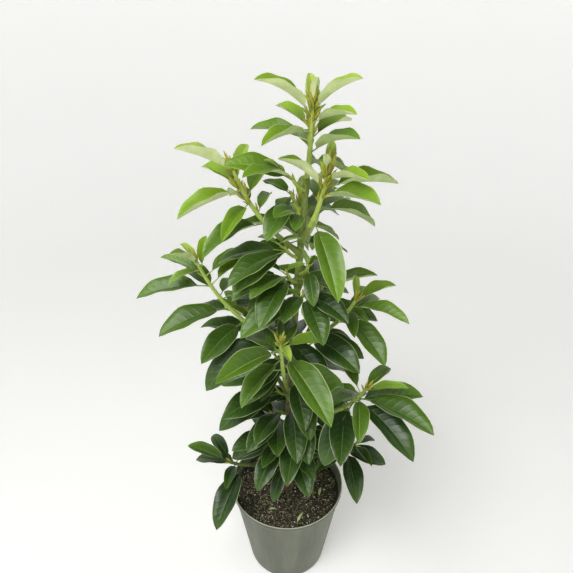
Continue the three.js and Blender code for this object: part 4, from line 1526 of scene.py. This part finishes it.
class AVOCADO_OT_studio(bpy.types.Operator):
    """Make the pale studio floor with its curved-up wall, the soft lights and the camera"""

    bl_idname = "avocado.studio"
    bl_label = "Studio"

    sides = 96
    radius = 4.6
    sweep = 1.8
    height = 4.0
    bounce_share = 0.07  # the low front light's power, as a share of the overhead one's
    sky_strength = 0.03
    camera_place = (-0.002, -0.851, 1.219)
    camera_pitch = 27.1
    camera_lens = 30.16
    sensor = 36

    def execute(self, context):
        settings = context.scene.avocado_studio
        self.backdrop(settings)
        self.light("overhead", (-0.8, -1.3, 2.9), (0, 0.05, 0.6), 1.5, settings.light)
        self.light("bounce", (0.3, -1.7, 0.12), (0, 0, 1.1), 0.9, settings.light * self.bounce_share)
        self.sky(context.scene)
        self.camera(context.scene)
        context.scene.view_settings.view_transform = "Standard"
        return {"FINISHED"}

    def backdrop(self, settings):
        arc = [(self.radius - self.sweep + self.sweep * math.sin(a), self.sweep - self.sweep * math.cos(a))
               for a in np.linspace(0, math.pi / 2, 16)]
        bm = turned([(0, 0), (self.radius / 3, 0), *arc, (self.radius, self.height)], self.sides)
        bmesh.ops.reverse_faces(bm, faces=bm.faces[:])
        mesh = mesh_from(bm, "studio_floor")
        mesh.materials.append(studio_material(settings))
        place_in_scene("studio_floor", mesh)

    def light(self, name, place, target, size, power):
        data = bpy.data.lights.new(name, "AREA")
        data.shape = "SQUARE"
        data.size = size
        data.energy = power
        lamp = place_in_scene(name, data)
        lamp.location = place
        lamp.rotation_euler = (Vector(target) - Vector(place)).to_track_quat("-Z", "Y").to_euler()

    def sky(self, scene):
        world = bpy.data.worlds.new("studio_light")
        world.use_nodes = True
        background = world.node_tree.nodes["Background"].inputs
        background["Color"].default_value = (1, 1, 1, 1)
        background["Strength"].default_value = self.sky_strength
        scene.world = world

    def camera(self, scene):
        data = bpy.data.cameras.new("camera")
        data.sensor_width = self.sensor
        data.lens = self.camera_lens
        camera = place_in_scene("camera", data)
        camera.location = self.camera_place
        camera.rotation_euler = (math.radians(90 - self.camera_pitch), 0, 0)
        scene.camera = camera


class AVOCADO_PT_panel(bpy.types.Panel):
    """The pieces and their settings"""

    bl_idname = "AVOCADO_PT_panel"
    bl_label = "Potted avocado"
    bl_space_type = "VIEW_3D"
    bl_region_type = "UI"
    bl_category = "Avocado"

    def draw(self, context):
        for operator in OPERATORS:
            self.layout.operator(operator.bl_idname)
        for name in SETTINGS:
            box = self.layout.box()
            box.label(text=SETTINGS[name].__name__.replace("Settings", ""))
            for key in SETTINGS[name].__annotations__:
                box.prop(getattr(context.scene, name), key)


OPERATORS = (AVOCADO_OT_pot, AVOCADO_OT_soil, AVOCADO_OT_trunk, AVOCADO_OT_twigs, AVOCADO_OT_leaves,
             AVOCADO_OT_buds, AVOCADO_OT_studio)
SETTINGS = {
    "avocado_pot": PotSettings,
    "avocado_soil": SoilSettings,
    "avocado_wood": WoodSettings,
    "avocado_leaf": LeafSettings,
    "avocado_bud": BudSettings,
    "avocado_studio": StudioSettings,
}
CLASSES = (*SETTINGS.values(), *OPERATORS, AVOCADO_PT_panel)


def register():
    for cls in CLASSES:
        bpy.utils.register_class(cls)
    for name, group in SETTINGS.items():
        setattr(bpy.types.Scene, name, PointerProperty(type=group))


def unregister():
    for name in SETTINGS:
        delattr(bpy.types.Scene, name)
    for cls in reversed(CLASSES):
        bpy.utils.unregister_class(cls)


def main():
    register()
    bpy.ops.avocado.pot()
    bpy.ops.avocado.soil()
    bpy.ops.avocado.trunk()
    bpy.ops.avocado.twigs()
    bpy.ops.avocado.leaves()
    bpy.ops.avocado.buds()
    bpy.ops.avocado.studio()


if __name__ == "__main__":
    main()
